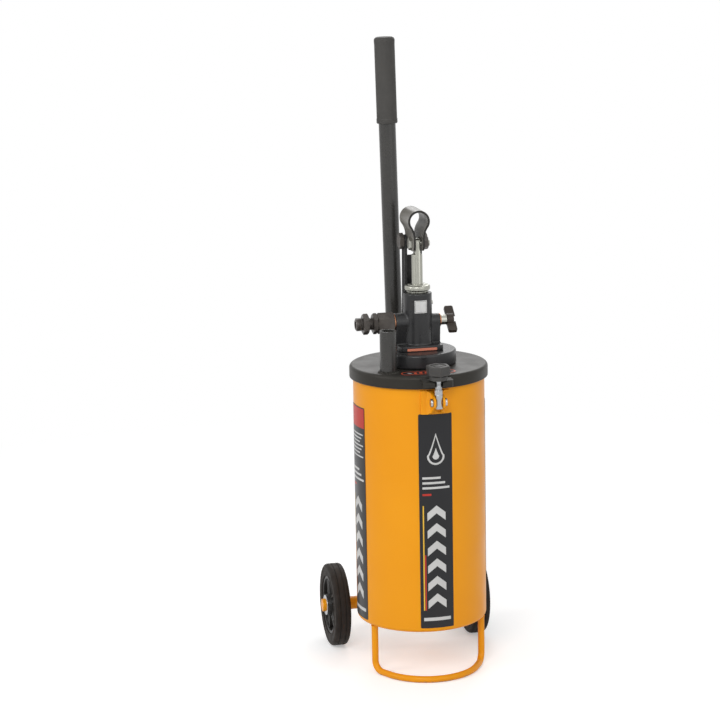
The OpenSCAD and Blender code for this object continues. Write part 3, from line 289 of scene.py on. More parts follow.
dustGrey = (0.30, 0.28, 0.25)
ink = dict(mottle=(25.0, 0.6), grain=1600.0, rough=(0.34, 0.42), bump=(0.03, 0.0002))
film = dict(mottle=(60.0, 0.7), grain=1200.0, rough=(0.30, 0.40), bump=(0.05, 0.0002))
finishSpecs = {
    "orangePaint": dict(colour=(0.83, 0.325, 0.006), shade=(0.76, 0.275, 0.004), mottle=(7.0, 0.6),
                        grain=750.0, rough=(0.30, 0.42), bump=(0.10, 0.0004), gloss=0.2,
                        scuff=(0.0035, 0.8, (0.16, 0.12, 0.09))),
    "blackPaint": dict(colour=(0.022, 0.0205, 0.018), shade=(0.031, 0.029, 0.025), mottle=(11.0, 0.7),
                       grain=850.0, rough=(0.34, 0.46), bump=(0.14, 0.0004), gloss=0.18,
                       tint=(1.0, 0.95, 0.88), dust=(70.0, 0.03, dustGrey)),
    "tubePaint": dict(colour=(0.027, 0.026, 0.024), shade=(0.036, 0.034, 0.031), mottle=(30.0, 0.8),
                      grain=850.0, rough=(0.24, 0.34), bump=(0.10, 0.0003), gloss=0.5,
                      dust=(70.0, 0.03, dustGrey)),
    "castBlack": dict(colour=(0.018, 0.018, 0.019), shade=(0.026, 0.026, 0.027), mottle=(28.0, 0.8),
                      grain=520.0, rough=(0.25, 0.36), bump=(0.18, 0.0005), gloss=0.35,
                      dust=(90.0, 0.04, dustGrey)),
    # strap grey: lighter than the strap's black paint, standing in for its sheen as a painted highlight;
    # the pump plate's frame also uses it as plain grey
    "strapSteel": dict(colour=(0.13, 0.122, 0.108), shade=(0.18, 0.17, 0.15), mottle=(40.0, 0.8),
                       grain=700.0, rough=(0.26, 0.40), bump=(0.12, 0.0004), dust=(90.0, 0.05, dustGrey)),
    "fittingBlack": dict(colour=(0.060, 0.052, 0.047), shade=(0.086, 0.075, 0.066), mottle=(90.0, 0.9),
                         grain=1100.0, rough=(0.28, 0.46), bump=(0.12, 0.0003), metal=0.35,
                         dust=(90.0, 0.05, dustGrey)),
    "zincPlate": dict(colour=(0.39, 0.39, 0.345), shade=(0.33, 0.33, 0.29), along=(1.0, 1.0, 0.12),
                      grain=900.0, rough=(0.24, 0.36), bump=(0.05, 0.0002), metal=1.0),
    "zincAcross": dict(colour=(0.44, 0.44, 0.40), shade=(0.37, 0.37, 0.33), along=(0.12, 1.0, 1.0),
                       grain=900.0, rough=(0.22, 0.38), bump=(0.06, 0.0002), metal=1.0),
    "zincBlue": dict(colour=(0.45, 0.46, 0.47), shade=(0.40, 0.41, 0.42), along=(1.0, 1.0, 0.1),
                     grain=500.0, rough=(0.24, 0.32), bump=(0.02, 0.0001), metal=1.0),
    "copperRing": dict(colour=(0.52, 0.25, 0.14), shade=(0.40, 0.17, 0.09), along=(0.12, 1.0, 1.0),
                       grain=800.0, rough=(0.26, 0.42), bump=(0.10, 0.0002), metal=1.0),
    "tyreRubber": dict(colour=(0.012, 0.009, 0.007), shade=(0.019, 0.014, 0.011), mottle=(35.0, 0.9),
                       grain=1300.0, rough=(0.62, 0.80), bump=(0.22, 0.0004), gloss=0.25,
                       scuff=(0.012, 0.5, (0.085, 0.075, 0.065)), dust=(110.0, 0.04, (0.16, 0.14, 0.12))),
    "hubPlastic": dict(colour=(0.012, 0.011, 0.010), shade=(0.020, 0.018, 0.016), mottle=(45.0, 0.8),
                       grain=1000.0, rough=(0.32, 0.46), bump=(0.10, 0.0003), gloss=0.3,
                       dust=(90.0, 0.06, dustGrey)),
    "knobPlastic": dict(colour=(0.045, 0.043, 0.041), shade=(0.057, 0.055, 0.052), mottle=(60.0, 0.8),
                        grain=1500.0, rough=(0.38, 0.50), bump=(0.18, 0.0003), gloss=0.3,
                        dust=(120.0, 0.08, dustGrey)),
    "wingBrown": dict(colour=(0.030, 0.022, 0.017), shade=(0.042, 0.031, 0.024), mottle=(60.0, 0.8),
                      grain=1200.0, rough=(0.36, 0.50), bump=(0.12, 0.0003), gloss=0.3,
                      dust=(120.0, 0.05, dustGrey)),
    "gripRubber": dict(colour=(0.047, 0.045, 0.042), shade=(0.058, 0.055, 0.051), mottle=(30.0, 0.8),
                       grain=1800.0, rough=(0.55, 0.70), bump=(0.25, 0.0003), gloss=0.3,
                       dust=(90.0, 0.05, dustGrey)),
    "sealRubber": dict(colour=(0.030, 0.029, 0.028), shade=(0.040, 0.038, 0.036), mottle=(60.0, 0.8),
                       grain=1400.0, rough=(0.6, 0.75), bump=(0.15, 0.0003)),
    "labelFilm": dict(colour=(0.012, 0.012, 0.014), shade=(0.016, 0.016, 0.018), mottle=(14.0, 0.6),
                      grain=1600.0, rough=(0.30, 0.38), bump=(0.03, 0.0002), gloss=0.3),
    "paleInk": dict(ink, colour=(0.56, 0.56, 0.55), shade=(0.49, 0.49, 0.48)),
    "redInk": dict(ink, colour=(0.50, 0.040, 0.028), shade=(0.41, 0.032, 0.024), gloss=0.2),
    "amberInk": dict(ink, colour=(0.83, 0.50, 0.03), shade=(0.72, 0.42, 0.02)),
    "silverFilm": dict(colour=(0.62, 0.62, 0.61), shade=(0.50, 0.50, 0.50), mottle=(120.0, 0.9),
                       grain=700.0, rough=(0.28, 0.42), bump=(0.10, 0.0003), metal=0.35),
    "salmonFilm": dict(film, colour=(0.68, 0.22, 0.135), shade=(0.60, 0.19, 0.11)),
    "redFilm": dict(film, colour=(0.70, 0.10, 0.035), shade=(0.58, 0.07, 0.025)),
}
finishes = {name: makeFinish(name, spec) for name, spec in finishSpecs.items()}
print("finishes made:", len(finishes))


# mesh helpers
def dropAttribute(mesh, name):
    if name in mesh.attributes:
        mesh.attributes.remove(mesh.attributes[name])


def settlePiece(piece, body, stands):
    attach(piece, body)
    if stands:
        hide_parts(*stands)
    return piece


def meshFrom(name, bm):
    bmesh.ops.remove_doubles(bm, verts=bm.verts, dist=1e-7)
    bmesh.ops.recalc_face_normals(bm, faces=bm.faces)
    mesh = bpy.data.meshes.new(name)
    bm.to_mesh(mesh)
    bm.free()
    return mesh


def makePiece(name, bm, finishNames, body, stands=(), angle=38):
    mesh = meshFrom(name, bm)
    dropAttribute(mesh, "custom_normal")
    dropAttribute(mesh, "sharp_edge")
    for finishName in finishNames:
        mesh.materials.append(finishes[finishName])
    mesh.shade_smooth()
    mesh.set_sharp_from_angle(angle=math.radians(angle))
    piece = addObject(name, mesh)
    return settlePiece(piece, body, stands)


def roundedLoop(corners, steps=6):
    # corners: (x, y, radius); returns the closed loop with each corner rounded
    loop = []
    count = len(corners)
    for i, (x, y, radius) in enumerate(corners):
        here = Vector((x, y))
        before = (Vector(corners[i - 1][:2]) - here).normalized()
        after = (Vector(corners[(i + 1) % count][:2]) - here).normalized()
        half = before.angle(after) / 2
        if radius <= 0 or half > math.radians(89.5):
            loop.append(here)
            continue
        centre = here + (before + after).normalized() * (radius / math.sin(half))
        first = here + before * (radius / math.tan(half)) - centre
        last = here + after * (radius / math.tan(half)) - centre
        sweep = first.angle_signed(last)
        for k in range(steps + 1):
            turn = -sweep * k / steps
            loop.append(centre + Vector((first.x * math.cos(turn) - first.y * math.sin(turn),
                                         first.x * math.sin(turn) + first.y * math.cos(turn))))
    return [tuple(point) for point in loop]


def joinRings(bm, rings, sides):
    for i in range(len(rings)):
        low, high = rings[i - 1], rings[i]
        for k in range(sides):
            bm.faces.new((low[k], low[(k + 1) % sides], high[(k + 1) % sides], high[k]))


def spinLoop(bm, loop, sides, matrix, radiusAt=None):
    # turns a closed loop of (radius, height) round the local Z axis
    rings = []
    for radius, height in loop:
        ring = []
        for k in range(sides):
            turn = 2 * math.pi * k / sides
            reach = radiusAt(radius, height, turn) if radiusAt else radius
            ring.append(bm.verts.new(matrix @ Vector((reach * math.cos(turn), reach * math.sin(turn),
                                                      height))))
        rings.append(ring)
    joinRings(bm, rings, sides)


def spinPiece(name, loop, sides, matrix, finishName, body, stands=(), radiusAt=None, angle=38):
    bm = bmesh.new()
    spinLoop(bm, loop, sides, matrix, radiusAt)
    return makePiece(name, bm, [finishName], body, stands, angle)


def alongX(x, y, z, flip=False):
    # local Z runs along +X, or along -X when flipped
    turn = Matrix.Rotation(math.radians(-90 if flip else 90), 4, "Y")
    return onAxis @ Matrix.Translation((x, y, z)) @ turn


def mergedCopy(nodeName):
    bm = bmesh.new()
    bm.from_mesh(nodes[nodeName].data)
    bmesh.ops.remove_doubles(bm, verts=bm.verts, dist=2e-6)
    return bm


def edgedCopy(name, nodeName, width, finishName, body, slot, endFinish=None, sharpFrom=32, steps=2):
    # a solid's copy with its sharp edges broken, and if asked another finish on its front and back ends
    bm = mergedCopy(nodeName)
    bmesh.ops.dissolve_limit(bm, angle_limit=math.radians(0.3), verts=bm.verts, edges=bm.edges)
    least = math.radians(sharpFrom)
    sharp = [e for e in bm.edges if len(e.link_faces) == 2 and e.calc_face_angle(0.0) > least]
    bmesh.ops.bevel(bm, geom=sharp, offset=width * mm, offset_type="OFFSET", segments=steps, profile=0.5,
                    affect="EDGES", clamp_overlap=True)
    bmesh.ops.triangulate(bm, faces=[f for f in bm.faces if len(f.verts) > 4])
    for face in bm.faces:
        face.material_index = int(endFinish is not None and abs(face.normal.y) > 0.6)
    return makePiece(name, bm, [finishName, endFinish or finishName], body, (nodeName,), 20)


def castCopy(name, nodeName, s, finishName, body):
    # a solid's copy with the soft edges and fillets of a casting or moulding
    bm = mergedCopy(nodeName)
    mesh = bpy.data.meshes.new(name)
    bm.to_mesh(mesh)
    bm.free()
    dropAttribute(mesh, "custom_normal")
    piece = addObject(name, mesh)
    remesh = piece.modifiers.new("cast", "REMESH")
    remesh.mode = "VOXEL"
    remesh.voxel_size = s["voxel"] * mm
    ease = piece.modifiers.new("ease", "SMOOTH")
    ease.factor = 0.5
    ease.iterations = s["passes"]
    soft = bpy.data.meshes.new_from_object(piece.evaluated_get(bpy.context.evaluated_depsgraph_get()))
    piece.modifiers.clear()
    piece.data = soft
    soft.materials.clear()
    soft.materials.append(finishes[finishName])
    soft.shade_smooth()
    return settlePiece(piece, body, (nodeName,))


# geometry node trees
def growTree(name, takes):
    tree = bpy.data.node_groups.new(name, "GeometryNodeTree")
    tree.interface.new_socket("Geometry", in_out="INPUT", socket_type="NodeSocketGeometry")
    for label, kind in takes:
        tree.interface.new_socket(label, in_out="INPUT", socket_type="NodeSocket" + kind)
    tree.interface.new_socket("Finish", in_out="INPUT", socket_type="NodeSocketMaterial")
    tree.interface.new_socket("Geometry", in_out="OUTPUT", socket_type="NodeSocketGeometry")
    return tree, tree.nodes.new("NodeGroupInput").outputs


def closeTree(tree, geometry, take):
    real, smooth, paint = addNodes(tree, "GeometryNode", "RealizeInstances", "SetShadeSmooth",
                                   "SetMaterial")
    out = tree.nodes.new("NodeGroupOutput")
    link(tree, (geometry, real, 0), (real, smooth, 0), (smooth, paint, 0),
         (take["Finish"], paint, "Material"), (paint, out, 0))


def makeRodTree():
    tree, take = growTree("rodAlongPath", [("Rod Radius", "Float"), ("Sides", "Int")])
    curve, ring, sweep = addNodes(tree, "GeometryNode", "MeshToCurve", "CurvePrimitiveCircle",
                                  "CurveToMesh")
    setInputs(sweep, {"Fill Caps": True})
    link(tree, (take["Geometry"], curve, "Mesh"), (take["Rod Radius"], ring, "Radius"),
         (take["Sides"], ring, "Resolution"), (curve, sweep, "Curve"), (ring, sweep, "Profile Curve"))
    closeTree(tree, sweep.outputs[0], take)
    return tree


def makeWeldTree():
    tree, take = growTree("weldAlongPath", [("Bead Radius", "Float"), ("Pitch", "Float"), ("Seed", "Int")])
    curve, spaced, bead, tangent, place = addNodes(tree, "GeometryNode", "MeshToCurve", "ResampleCurve",
                                                   "MeshIcoSphere", "InputTangent", "InstanceOnPoints")
    lay, vary = addNodes(tree, "FunctionNode", "AlignRotationToVector", "RandomValue")
    spaced.mode = "LENGTH"
    setInputs(bead, {"Subdivisions": 2})
    lay.axis = "X"
    vary.data_type = "FLOAT_VECTOR"
    setInputs(vary, {0: (0.75, 0.72, 0.72), 1: (1.15, 1.12, 1.12)})
    link(tree, (take["Geometry"], curve, "Mesh"), (curve, spaced, "Curve"),
         (take["Pitch"], spaced, "Length"), (take["Bead Radius"], bead, "Radius"),
         (tangent, lay, "Vector"), (take["Seed"], vary, "Seed"), (spaced, place, "Points"),
         (bead, place, "Instance"), (lay, place, "Rotation"), (vary, place, "Scale"))
    closeTree(tree, place.outputs[0], take)
    return tree


def makeThreadTree():
    tree, take = growTree("threadRound", [
        ("Radius", "Float"), ("Depth", "Float"), ("Length", "Float"), ("Turns", "Float"),
        ("Place", "Vector"), ("Turn", "Vector")])
    spiral, ridge, sweep, move, join = addNodes(tree, "GeometryNode", "CurveSpiral",
                                                "CurvePrimitiveCircle", "CurveToMesh", "Transform",
                                                "JoinGeometry")
    setInputs(spiral, {"Resolution": 40})
    setInputs(ridge, {"Resolution": 4})
    setInputs(sweep, {"Fill Caps": True})
    link(tree, (take["Radius"], spiral, "Start Radius"), (take["Radius"], spiral, "End Radius"),
         (take["Length"], spiral, "Height"), (take["Turns"], spiral, "Rotations"),
         (take["Depth"], ridge, "Radius"), (spiral, sweep, "Curve"), (ridge, sweep, "Profile Curve"),
         (sweep, move, "Geometry"), (take["Place"], move, "Translation"), (take["Turn"], move, "Rotation"),
         (move, join, 0), (take["Geometry"], join, 0))
    closeTree(tree, join.outputs[0], take)
    return tree


def makeRingTree():
    tree, take = growTree("repeatRound", [("Count", "Int"), ("Place", "Vector"), ("Turn", "Vector")])
    points, index, copies, move = addNodes(tree, "GeometryNode", "Points", "InputIndex",
                                           "InstanceOnPoints", "Transform")
    step = mathNode(tree, "DIVIDE", 2 * math.pi, take["Count"])
    angle = mathNode(tree, "MULTIPLY", index.outputs[0], step)
    spin = tree.nodes.new("ShaderNodeCombineXYZ")
    link(tree, (take["Count"], points, "Count"), (angle, spin, "Z"), (points, copies, "Points"),
         (take["Geometry"], copies, "Instance"), (spin, copies, "Rotation"), (copies, move, "Geometry"),
         (take["Place"], move, "Translation"), (take["Turn"], move, "Rotation"))
    closeTree(tree, move.outputs[0], take)
    return tree


rodTree = makeRodTree()
weldTree = makeWeldTree()
threadTree = makeThreadTree()
ringTree = makeRingTree()


def grownMesh(name, seedMesh, tree, values):
    holder = addObject(name, seedMesh)
    grow = holder.modifiers.new("grow", "NODES")
    grow.node_group = tree
    for item in tree.interface.items_tree:
        if item.in_out == "INPUT" and item.name in values:
            grow[item.identifier] = values[item.name]
    mesh = bpy.data.meshes.new_from_object(holder.evaluated_get(bpy.context.evaluated_depsgraph_get()))
    holder.modifiers.clear()
    bpy.data.objects.remove(holder)
    mesh.name = name
    return mesh


def growPiece(name, seedMesh, tree, values, body, stands=(), angle=38):
    mesh = grownMesh(name, seedMesh, tree, values)
    mesh.set_sharp_from_angle(angle=math.radians(angle))
    piece = addObject(name, mesh)
    return settlePiece(piece, body, stands)


def growThread(name, seed, radius, depth, long, pitch, start, turn, finishName, body, slot, stands=()):
    growPiece(name, seed, threadTree, {
        "Radius": radius * mm, "Depth": depth * mm, "Length": long * mm, "Turns": long / pitch,
        "Place": onAxis @ Vector(start), "Turn": turn, "Finish": finishes[finishName]}, body, stands)


def pathMesh(name, points, closed=False):
    mesh = bpy.data.meshes.new(name)
    edges = [(i, i + 1) for i in range(len(points) - 1)]
    if closed:
        edges.append((len(points) - 1, 0))
    mesh.from_pydata([onAxis @ Vector(p) for p in points], edges, [])
    return mesh


print("helpers and node trees ready")

# barrel and lid
barrelSpec = {"radius": 78.25, "wall": 1.2, "bottom": 60.0, "rim": 364.5, "edge": 5.0, "bead": 1.7,
              "sides": 160}


def makeBarrel(s):
    radius, wall, low, rim, edge, bead = pick(s, "radius wall bottom rim edge bead")
    inner = radius - wall
    neck = rim - 2 * bead
    turns = [math.radians(a) for a in range(0, 181, 15)]
    curl = [(radius + bead * math.sin(a), rim - bead - bead * math.cos(a)) for a in turns]
    outer = roundedLoop([(0.4, low, 0), (radius, low, edge), (radius, neck, 0), (0.4, neck, 0)], 8)[:-1]
    inside = roundedLoop([(inner, rim, 0), (inner, low + wall, edge), (0.4, low + wall, 0)], 8)
    spinPiece("barrelShell", outer[:-1] + curl + inside, s["sides"], onAxis,
              "orangePaint", "container", ("barrel",), angle=50)


lidSpec = {"radius": 82.45, "top": 371.5, "rim": 15.0, "wall": 2.0, "edge": 4.0, "hem": 0.9, "hole": 14.03,
           "sides": 160}


def makeLid(s):
    radius, top, wall, edge, hem, hole = pick(s, "radius top wall edge hem hole")
    low = top - s["rim"]
    inner = radius - wall
    loop = roundedLoop([
        (hole, top, 0), (radius, top, edge), (radius, low, hem), (inner, low, hem),
        (inner, top - wall, edge - wall), (hole, top - wall, 0)], 8)
    spinPiece("lidCover", loop, s["sides"], onAxis, "blackPaint", "container", ("lid",),
              angle=50)


makeBarrel(barrelSpec)
makeLid(lidSpec)
print("barrel and lid made")

# bent foot
footSpec = {"radius": 4.0, "leg": (66.0, -31.06), "top": 59.9, "bend": 12.0, "half": 60.0, "arc": 62.0,
            "sides": 28}


def makeFoot(s):
    half = math.radians(s["half"])
    legX, legY = s["leg"]
    side = (legX - s["arc"] * math.sin(half)) / math.cos(half)
    arcY = legY - side * math.sin(half) + s["arc"] * math.cos(half)
    right = [(legX, legY, s["top"])]
    for k in range(13):
        turn = math.radians(90 * k / 12)
        reach = s["bend"] * (1 - math.cos(turn))
        right.append((legX - reach * math.cos(half), legY - reach * math.sin(half),
                      s["radius"] + s["bend"] * (1 - math.sin(turn))))
    arc = []
    for k in range(49):
        turn = math.radians(-90 + s["half"] - 2 * s["half"] * k / 48)
        arc.append((s["arc"] * math.cos(turn), arcY + s["arc"] * math.sin(turn), s["radius"]))
    left = [(-x, y, z) for x, y, z in reversed(right)]
    growPiece("footRod", pathMesh("footPath", right + arc + left), rodTree,
              {"Rod Radius": s["radius"] * mm, "Sides": s["sides"], "Finish": finishes["orangePaint"]},
              "container", ("front_foot",))


makeFoot(footSpec)
print("foot made")

# wheels
wheelSpec = {"middle": (88.5, 90.25, 51.0), "outer": 51.0, "width": 20.0, "shoulder": 4.0, "seat": 36.05,
             "grooves": (-3.4, 3.4), "grooveWide": 1.3, "grooveDeep": 0.9, "sides": 144,
             # side wall: from which edge, how far out, how deep, corner radius
             "wall": [("seat", 0.0, 0.6, 0.4), ("seat", 1.6, 0.0, 0.6), ("seat", 3.4, 0.0, 0.3),
                      ("seat", 4.2, 0.55, 0.3), ("outer", -5.2, 0.55, 0.3), ("outer", -4.6, 0.0, 0.3)]}
hubSpec = {"rim": 35.97, "rimIn": 32.5, "rimWide": 17.0, "web": 5.0, "boss": 13.0, "bossLong": 22.0,
           "bore": 8.06, "spokes": 5, "ribThick": 2.5, "ribGap": 4.5, "ribWide": 15.0,
           "ribSunk": (2.0, 1.0), "ribEdge": 0.5}
axleNutSpec = {"outer": 12.5, "bore": 8.04, "thick": 1.5}


def makeWheel(side, t, h):
    x, y, z = t["middle"]
    spot = alongX(side * x, y, z, side < 0)
    halfWide = t["width"] / 2
    wall = [(t[edge] + out, -halfWide + dip, ease) for edge, out, dip, ease in t["wall"]]
    loop = wall + [(t["outer"], -halfWide, t["shoulder"])]
    for g in t["grooves"]:
        wide = t["grooveWide"] / 2
        loop += [(t["outer"], g - wide, 0.2), (t["outer"] - t["grooveDeep"], g - wide * 0.5, 0.2),
                 (t["outer"] - t["grooveDeep"], g + wide * 0.5, 0.2), (t["outer"], g + wide, 0.2)]
    loop += [(t["outer"], halfWide, t["shoulder"])] + [(r, -w, e) for r, w, e in reversed(wall)]
    name = "left" if side < 0 else "right"
    body = name + "_wheel"
    spinPiece(name + "Tyre", roundedLoop(loop, 4), t["sides"], spot, "tyreRubber", body,
              (name + "_tyre",))
    halfRim, halfWeb, halfBoss = h["rimWide"] / 2, h["web"] / 2, h["bossLong"] / 2
    section = [(h["bore"], -halfBoss, 0.5), (h["boss"], -halfBoss, 1.0), (h["boss"] + 0.5, -halfWeb, 1.5),
               (h["rimIn"] - 0.4, -halfWeb, 1.5), (h["rimIn"], -halfRim, 0.8), (h["rim"], -halfRim, 0.8),
               (h["rim"], halfRim, 0.8), (h["rimIn"], halfRim, 0.8), (h["rimIn"] - 0.4, halfWeb, 1.5),
               (h["boss"] + 0.5, halfWeb, 1.5), (h["boss"], halfBoss, 1.0), (h["bore"], halfBoss, 0.5)]
    spinPiece(name + "HubBody", roundedLoop(section, 5), 96, spot, "hubPlastic", body,
              (name + "_hub",))
    bm = bmesh.new()
    start = h["boss"] - h["ribSunk"][0]
    long = h["rimIn"] + h["ribSunk"][1] - start
    for s in (-1, 1):
        across = s * (h["ribGap"] + h["ribThick"]) / 2
        box = bmesh.ops.create_cube(bm, size=1.0)
        bmesh.ops.scale(bm, vec=(h["ribThick"] * mm, long * mm, h["ribWide"] * mm), verts=box["verts"])
        bmesh.ops.translate(bm, vec=(across * mm, (start + long / 2) * mm, 0), verts=box["verts"])
    bmesh.ops.bevel(bm, geom=bm.edges[:], offset=h["ribEdge"] * mm, offset_type="OFFSET", segments=2,
                    profile=0.5, affect="EDGES")
    place = spot.translation
    turn = (0, math.radians(-90 if side < 0 else 90), 0)
    growPiece(name + "HubSpokes", meshFrom(name + "Rib", bm), ringTree,
              {"Count": h["spokes"], "Place": place, "Turn": turn, "Finish": finishes["hubPlastic"]}, body)


def makeAxleNuts(s, t, h):
    x, y, z = t["middle"]
    bore, outer, thick = pick(s, "bore outer thick")
    half = h["bossLong"] / 2
    loop = roundedLoop([
        (bore, 0.35, 0.1), (bore + 1.3, 0.1, 0.2), (outer - 1.2, 0, 0.3), (outer, 0.1, 0.3),
        (outer, thick - 0.1, 0.4), (outer - 1.4, thick, 0.4), (outer - 2.0, thick - 0.6, 0.3),
        (bore + 1.2, thick - 0.6, 0.3), (bore, thick, 0.1)], 4)
    bm = bmesh.new()
    for side in (-1, 1):
        for start in (x + half + 0.3, x - half - 0.3 - thick):
            spinLoop(bm, loop, 64, alongX(side * start, y, z, side < 0))
    makePiece("axleNuts", bm, ["zincBlue"], "container", ("axle_push_nuts",))


for wheelSide in (-1, 1):
    makeWheel(wheelSide, wheelSpec, hubSpec)
makeAxleNuts(axleNutSpec, wheelSpec, hubSpec)
print("wheels made")

# lid clamps
knobSpec = {"at": 94.25, "low": 369.7, "skirt": 10.9, "skirtTop": 376.3, "head": 14.5, "top": 386.8,
            "flats": 6, "flatDeep": 1.75, "well": 9.6, "wellDeep": 1.3, "button": 5.6, "boltTop": 383.4,
            "bore": 4.06, "sides": 180}


def makeKnob(end, s):
    turnBack = Matrix.Rotation(math.pi if end == "rear" else 0.0, 4, "Z")
    spot = onAxis @ turnBack @ Matrix.Translation((0, -s["at"], 0))
    low, top, bore, skirt, skirtTop, head = pick(s, "low top bore skirt skirtTop head")
    well, button, boltTop = pick(s, "well button boltTop")
    floor = top - s["wellDeep"]
    loop = roundedLoop([
        (bore, low, 0.2), (skirt - 0.5, low, 0.6), (skirt, skirtTop - 1.6, 1.0),
        (head - 0.5, skirtTop, 1.6), (head, top, 1.6), (well, top, 0.5), (well - 0.4, floor, 0.4),
        (button, floor, 0.4), (button - 0.4, top - 0.3, 0.5), (0.2, top - 0.3, 0), (0.2, boltTop, 0),
        (bore, boltTop, 0)], 6)
    pitch = 2 * math.pi / s["flats"]

    def flatted(radius, height, turn):
        if radius < skirt + 0.1 or height < skirtTop - 1.7:
            return radius
        inside = (turn + pitch / 2) % pitch - pitch / 2
        flat = (head - s["flatDeep"]) / math.cos(inside)
        return radius * min(1.0, flat / head)

    spinPiece(end + "KnobCap", loop, s["sides"], spot, "knobPlastic", end + "_screw_knob",
              (end + "_knob",), flatted, 30)


swingSpec = {"at": 94.25, "edge": 0.5, "threadFrom": 358.3, "threadTo": 369.1, "radius": 3.98,
             "depth": 0.30, "pitch": 1.25}


def makeSwingBolt(end, s):
    body = end + "_hinged_bolt"
    edgedCopy(end + "EyeBolt", end + "_swing_bolt", s["edge"], "zincBlue", body, "zinc")
    back = 1 if end == "rear" else -1
    long = s["threadTo"] - s["threadFrom"]
    growThread(end + "BoltThread", bpy.data.meshes.new(end + "ThreadSeed"), s["radius"], s["depth"], long,
               s["pitch"], (0, back * s["at"], s["threadFrom"]), (0, 0, 0), "zincBlue", body, "zinc")


for end in ("front", "rear"):
    makeKnob(end, knobSpec)
    makeSwingBolt(end, swingSpec)
print("clamps made")

# grip on the parked lever
leverSpec = {"turn": 13.5, "at": 61.5, "lean": 1.1, "holder": 38.0, "seat": 0.2239, "radius": 10.1,
             "long": 381.5, "grip": 12.5, "gripLong": 102.0, "gripEnd": 5.0}


def leverMatrix(s):
    turn = math.radians(s["turn"])
    foot = Matrix.Translation((-s["at"] * math.sin(turn), s["at"] * math.cos(turn),
                               lidSpec["top"] + s["holder"] / 2))
    lean = Matrix.Rotation(-math.radians(s["lean"]), 4, "Y")
    return onAxis @ foot @ lean @ Matrix.Translation((0, 0, s["seat"] - s["holder"] / 2))


def makeGrip(s):
    top, grip = pick(s, "long grip")
    low = top - s["gripLong"]
    bore = s["radius"] + 0.04
    stop = top - s["gripEnd"] + 0.05
    loop = roundedLoop([
        (bore, low, 0.3), (grip, low, 1.2), (grip, low + 5.0, 0.8), (grip - 0.35, low + 6.2, 0.8),
        (grip - 0.35, top - 9.0, 6.0), (grip - 0.1, top - 4.5, 3.0), (grip - 0.3, top, 4.2),
        (0.3, top, 0), (0.3, stop, 0), (bore, stop, 0)], 6)
    spinPiece("gripSleeve", loop, 72, leverMatrix(s), "gripRubber", "container",
              ("lever_grip",), angle=50)


makeGrip(leverSpec)
print("grip made")

# pump casting and gland
castCopy("pumpCasting", "pump_body", {"voxel": 0.75, "passes": 9}, "castBlack", "container")
glandSpec = {"low": 456.53, "top": 466.5, "neck": 12.6, "neckTop": 459.1, "flange": 15.2, "notches": 10,
             "notchDeep": 0.9, "bore": 6.55, "thread": 10.9}


def makeGland(s):
    low, top, bore, thread, neck, neckTop, flange = pick(s, "low top bore thread neck neckTop flange")
    loop = roundedLoop([
        (bore, low - 6.0, 0.2), (thread, low - 6.0, 0.2), (thread, low, 0.1), (neck, low, 0.4),
        (neck, neckTop, 0.6), (flange, neckTop, 2.2), (flange, top - 1.0, 2.4),
        (neck - 1.0, top - 0.9, 0.5), (neck - 1.6, top, 0.4), (bore, top, 0.5)], 6)

    def notched(radius, height, turn):
        onNeck = thread + 0.3 < radius < neck + 0.1 and height < neckTop - 0.1
        return radius - s["notchDeep"] if onNeck and math.cos(turn * s["notches"]) > 0.3 else radius

    spinPiece("glandRing", loop, 160, onAxis, "zincPlate", "container", ("gland_nut",), notched,
              45)


makeGland(glandSpec)
print("pump casting and gland made")


# hexagons with chamfered corners
def hexReach(turn, flats):
    inside = (turn + math.pi / 6) % (math.pi / 3) - math.pi / 6
    return flats / 2 / math.cos(inside)


def hexLoop(bm, flats, start, end, bore, matrix, bevelStart=True, bevelEnd=True, sides=96):
    slope = math.tan(math.radians(28))
    crown = flats / 2 * 0.96
    rings = []
    plan = [("bore", start), ("crown", start), ("flat", start), ("flat", end), ("crown", end),
            ("bore", end)]
    for kind, height in plan:
        ring = []
        for k in range(sides):
            turn = 2 * math.pi * k / sides
            reach = hexReach(turn, flats)
            level = height
            if kind == "bore":
                reach = bore
            elif kind == "crown":
                reach = min(crown, reach)
            else:
                drop = max(0.0, reach - crown) * slope
                if height == start and bevelStart:
                    level = start + drop
                if height == end and bevelEnd:
                    level = end - drop
            ring.append(bm.verts.new(matrix @ Vector((reach * math.sin(turn), reach * math.cos(turn),
                                                      level))))
        rings.append(ring)
    joinRings(bm, rings, sides)


def rodLoop(bm, radius, start, end, matrix, chamfer=0.5, bore=0.2, sides=48):
    loop = [(bore, start), (radius - chamfer, start), (radius, start + chamfer), (radius, end - chamfer),
            (radius - chamfer, end), (bore, end)]
    spinLoop(bm, loop, sides, matrix)


# outlet on the left
outletSpec = {"height": 421.5, "flats": 22.0, "adapter": (29.8, 49.8), "lock": (49.83, 55.4),
              "hose": (60.4, 67.4), "neck": 7.4, "thread": (68.4, 75.8), "tip": 7.85, "bore": 4.5,
              "stub": 6.9, "stubLong": 12.0, "seat": 11.0, "pitch": 1.5, "ridge": 0.55, "neckRidge": 0.45}


